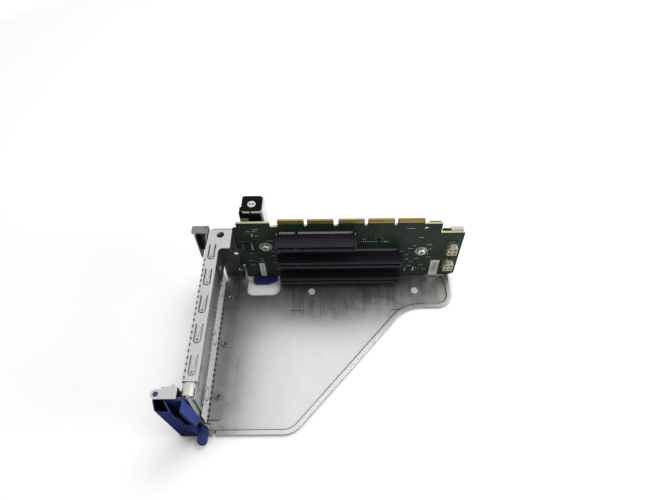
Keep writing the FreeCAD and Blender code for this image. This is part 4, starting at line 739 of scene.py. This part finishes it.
# the rows leave a gap for the slot's key after the eleventh blade
blade_margin, key_after, key_jump = 3.0, 11, 2.0
mouth_y, blade_side = -9.9, 0.90
for number, count in ((1, 49), (2, 82), (3, 82)):
    left, right, middle = slots[number - 1]
    columns = [left + blade_margin + k + (key_jump if k >= key_after else 0.0) for k in range(count)]
    for name, side in (("upper", 1), ("lower", -1)):
        places = [(x, mouth_y, middle + side * blade_side) for x in columns]
        blade = {"Bow": -side * 0.0006, "Depth": 0.0062, "Width": 0.00052, "Material": gold}
        grown("blades_%s_%d" % (name, number), blade_form, places, blade, "cage", gold)

line_margin, line_high, line_lift = 1.6, 0.35, 0.05
line_y = (-9.7, -6.2, -2.9)
housing_half = 3.75
lines = []
for left, right, middle in slots:
    for edge in (middle - housing_half, middle + housing_half):
        for y in line_y:
            lines.append((left + line_margin, right - line_margin, y, y + line_high,
                          edge - line_lift, edge + line_lift))
# least paints shade where the lines stand close to other faces.
slot_line = moulded("slot_line", (0.0360, 0.0300, 0.0430), 0.36, spec=0.2, least=0.15)
settled("slot_lines", slabs_mesh("slot_lines", lines), "cage", slot_line)
coat("slot_clips", turned_steel("clip_steel", (0.62, 0.62, 0.60), 0.28))


# Power connectors
# Two cream nylon housings at the board's right end hold gold-plated pins, one in each window. The
# socket on the back of the board is of a greyer nylon.

nylon = moulded("cream_nylon", (0.54, 0.49, 0.34), 0.45, grain=900, strength=0.08, lighter=1.2)
grey_nylon = moulded("grey_nylon", (0.50, 0.50, 0.47), 0.45, grain=900, strength=0.08, lighter=1.2)
coat("power_connector_1", nylon)
coat("power_connector_2", nylon)
coat("back_socket", grey_nylon)
coat("power_pins", gold)


# Labels
# Two blank paper labels are stuck on the board's lower corners. They carry plain grey bars where
# a printed code would be.

def label_stock(name):
    """Matt paper with fine fibres."""
    material, tree, shader = fresh_material(name)
    fibres = noise(tree, object_place(tree, (1, 1, 2)), 1500, detail=4.0)
    shade = blended(tree, fibres, (0.56, 0.56, 0.515, 1), (0.70, 0.70, 0.655, 1))
    painted(tree, shader, shade, swing(tree, fibres, 0.5, 0.7))
    bevel = soft_edges(tree, radius=0.00008)
    roughened(tree, shader, fibres, bevel, strength=0.2, depth=0.00003)
    return material


paper = label_stock("label_stock")
coat("board_label_1", paper)
coat("board_label_2", paper)
label_face = -0.1
bars = []
# left end, length, lowest and highest bar on each label
for x, wide, low, high in ((29.9, 1.4, 6.2, 17.6), (158.4, 2.4, 6.4, 18.4)):
    z = low
    while z < high:
        thick = draw.choice((0.16, 0.22, 0.3))
        bars.append((x, x + wide, label_face - ink_thick, label_face, z, z + thick))
        z += thick + draw.choice((0.5, 0.7, 1.0))
ink_grey = printed_ink("ink_grey", (0.10, 0.10, 0.10))
settled("label_bars", slabs_mesh("label_bars", bars), "cage", ink_grey)


# Tower behind the board
# A narrow sheet bracket carries the half-turn shaft. A black moulded guide fills its head and
# shows as a cap with a recess for the shaft's slotted end.

tower_zinc = plated_steel("tower_zinc", (0.78, 0.79, 0.77), rough=0.34, grain=(900, 900, 14),
                          metal=0.6, shift=3.1, reach=0.004, least=0.6)
coat("tower_bracket", tower_zinc)
guide_black = moulded("guide_black", (0.0040, 0.0040, 0.0044), 0.50, grain=1100, strength=0.16, spec=0.05)
coat("tower_housing", guide_black)
shaft_steel = turned_steel("shaft_steel", (0.70, 0.70, 0.67), 0.22)
coat("half_turn_shaft", shaft_steel)
coat("shaft_ring", shaft_steel)
coil_steel = turned_steel("coil_steel", (0.50, 0.50, 0.50), 0.3)
coat("half_turn_spring", coil_steel)


# Blue lever and card latch
# Both touch points are moulded in deep blue plastic: the lever under the board, which is a little
# glossier, and the door that swings on the two ears of a sheet bracket to hold the cards.

# least paints deep shade on the latch's faces near the floor and other faces.
door_blue = moulded("touch_blue", (0.046, 0.066, 0.225), 0.5, grain=1200, strength=0.14, spec=0.0,
                    lighter=1.35, least=0.08)
coat("card_latch", door_blue)
lever_blue = moulded("lever_blue", (0.026, 0.042, 0.200), 0.5, grain=1200, strength=0.14, spec=0.2,
                     lighter=1.35)
coat("half_turn_lever", lever_blue)
ear_zinc = plated_steel("ear_zinc", (0.58, 0.59, 0.575), mottle=170, shift=4.2)
coat("latch_bracket", ear_zinc)
coat("latch_spring", coil_steel)


# Floor, lamps and camera
# A plain pale floor and a white surround. One broad lamp hangs above and behind, a second one
# stands to the right, and the camera looks down on the cage from in front.

def white_rays(tree):
    """One for the rays by which the camera, a mirror or glass sees the surround."""
    path = joined(tree, "ShaderNodeLightPath").outputs
    seen = sums(tree, "MAXIMUM", path["Is Camera Ray"], path["Is Glossy Ray"])
    return sums(tree, "MAXIMUM", seen, path["Is Transmission Ray"])


def floor_look():
    """Grey paint for the light it throws back, and a white glow seen by the camera and in mirrors; the glow
    is dimmed near the cage as a painted shadow, and rises away from it.
    """
    material, tree, shader = fresh_material("floor_paint")
    tree.nodes.remove(shader)
    paint = joined(tree, "ShaderNodeBsdfDiffuse", {"Color": (0.48, 0.48, 0.48, 1)}).outputs[0]
    # The glow is dimmed where the cage stands close: a painted shadow.
    open_floor = joined(tree, "ShaderNodeAmbientOcclusion", {"Distance": 0.035}, samples=8).outputs["AO"]
    away = joined(tree, "ShaderNodeVectorMath", {0: object_place(tree)}, operation="LENGTH").outputs["Value"]
    painted_shadow_level = spread(tree, open_floor, 0.35, 0.95, 0.02, 0.66)
    far_level = spread(tree, away, 0.22, 0.70, 0.0, 0.92)
    level = sums(tree, "MAXIMUM", painted_shadow_level, far_level)
    lit = sums(tree, "MULTIPLY", white_rays(tree), level)
    glow = joined(tree, "ShaderNodeEmission", {"Color": (1, 1, 1, 1), "Strength": lit}).outputs[0]
    both = joined(tree, "ShaderNodeAddShader", {0: paint, 1: glow}).outputs[0]
    tree.links.new(both, tree.nodes["Material Output"].inputs["Surface"])
    return material


half, low = 3.0, -0.0004
floor_mesh = bpy.data.meshes.new("floor")
floor_mesh.from_pydata([(-half, -half, low), (half, -half, low), (half, half, low), (-half, half, low)],
                       [], [(0, 1, 2, 3)])
floor_mesh.materials.append(floor_look())
floor = bpy.data.objects.new("floor", floor_mesh)
bpy.context.scene.collection.objects.link(floor)

world = bpy.data.worlds.new("surround")
bpy.context.scene.world = world
world.use_nodes = True
tree = world.node_tree
background = tree.nodes["Background"]
tree.links.new(spread(tree, white_rays(tree), 0, 1, 0.24, 1.0), background.inputs["Strength"])
background.inputs["Color"].default_value = (1, 1, 1, 1)


def lamp(name, place, aim, size, watts):
    """A round lamp of this width, turned to the point that it lights."""
    data = bpy.data.lights.new(name, "AREA")
    data.shape = "DISK"
    data.size = size
    data.energy = watts
    light = bpy.data.objects.new(name, data)
    bpy.context.scene.collection.objects.link(light)
    light.location = place
    light.rotation_mode = "QUATERNION"
    light.rotation_quaternion = (Vector(aim) - Vector(place)).to_track_quat("-Z", "Y")
    return light


high_lamp = lamp("high_lamp", place=(0.35, 0.35, 0.90), aim=(0.02, 0.0, 0.02), size=0.55, watts=5.8)
high_lamp.visible_glossy = False
lamp("side_lamp", place=(0.90, -0.22, 0.42), aim=(0.0, -0.02, 0.03), size=0.5, watts=6.8)

pitch, yaw, roll = math.radians(-53.17), math.radians(-0.2), math.radians(0.83)
ahead = Vector((math.sin(yaw) * math.cos(pitch), math.cos(yaw) * math.cos(pitch), math.sin(pitch)))
right = Vector((math.cos(yaw), -math.sin(yaw), 0))
down = ahead.cross(right)
turned_right = right * math.cos(roll) + down * math.sin(roll)
turned_up = right * math.sin(roll) - down * math.cos(roll)
turn = Matrix((turned_right, turned_up, -ahead)).transposed().to_4x4()
eye = at(84.86, -223.15, 333.45)
camera_data = bpy.data.cameras.new("camera")
camera_data.sensor_width = 36.0
camera_data.lens = 27.83
camera_data.clip_start = 0.01
camera = bpy.data.objects.new("camera", camera_data)
bpy.context.scene.collection.objects.link(camera)
camera.matrix_world = Matrix.Translation(eye) @ turn
bpy.context.scene.camera = camera
bpy.context.scene.view_settings.view_transform = "Standard"
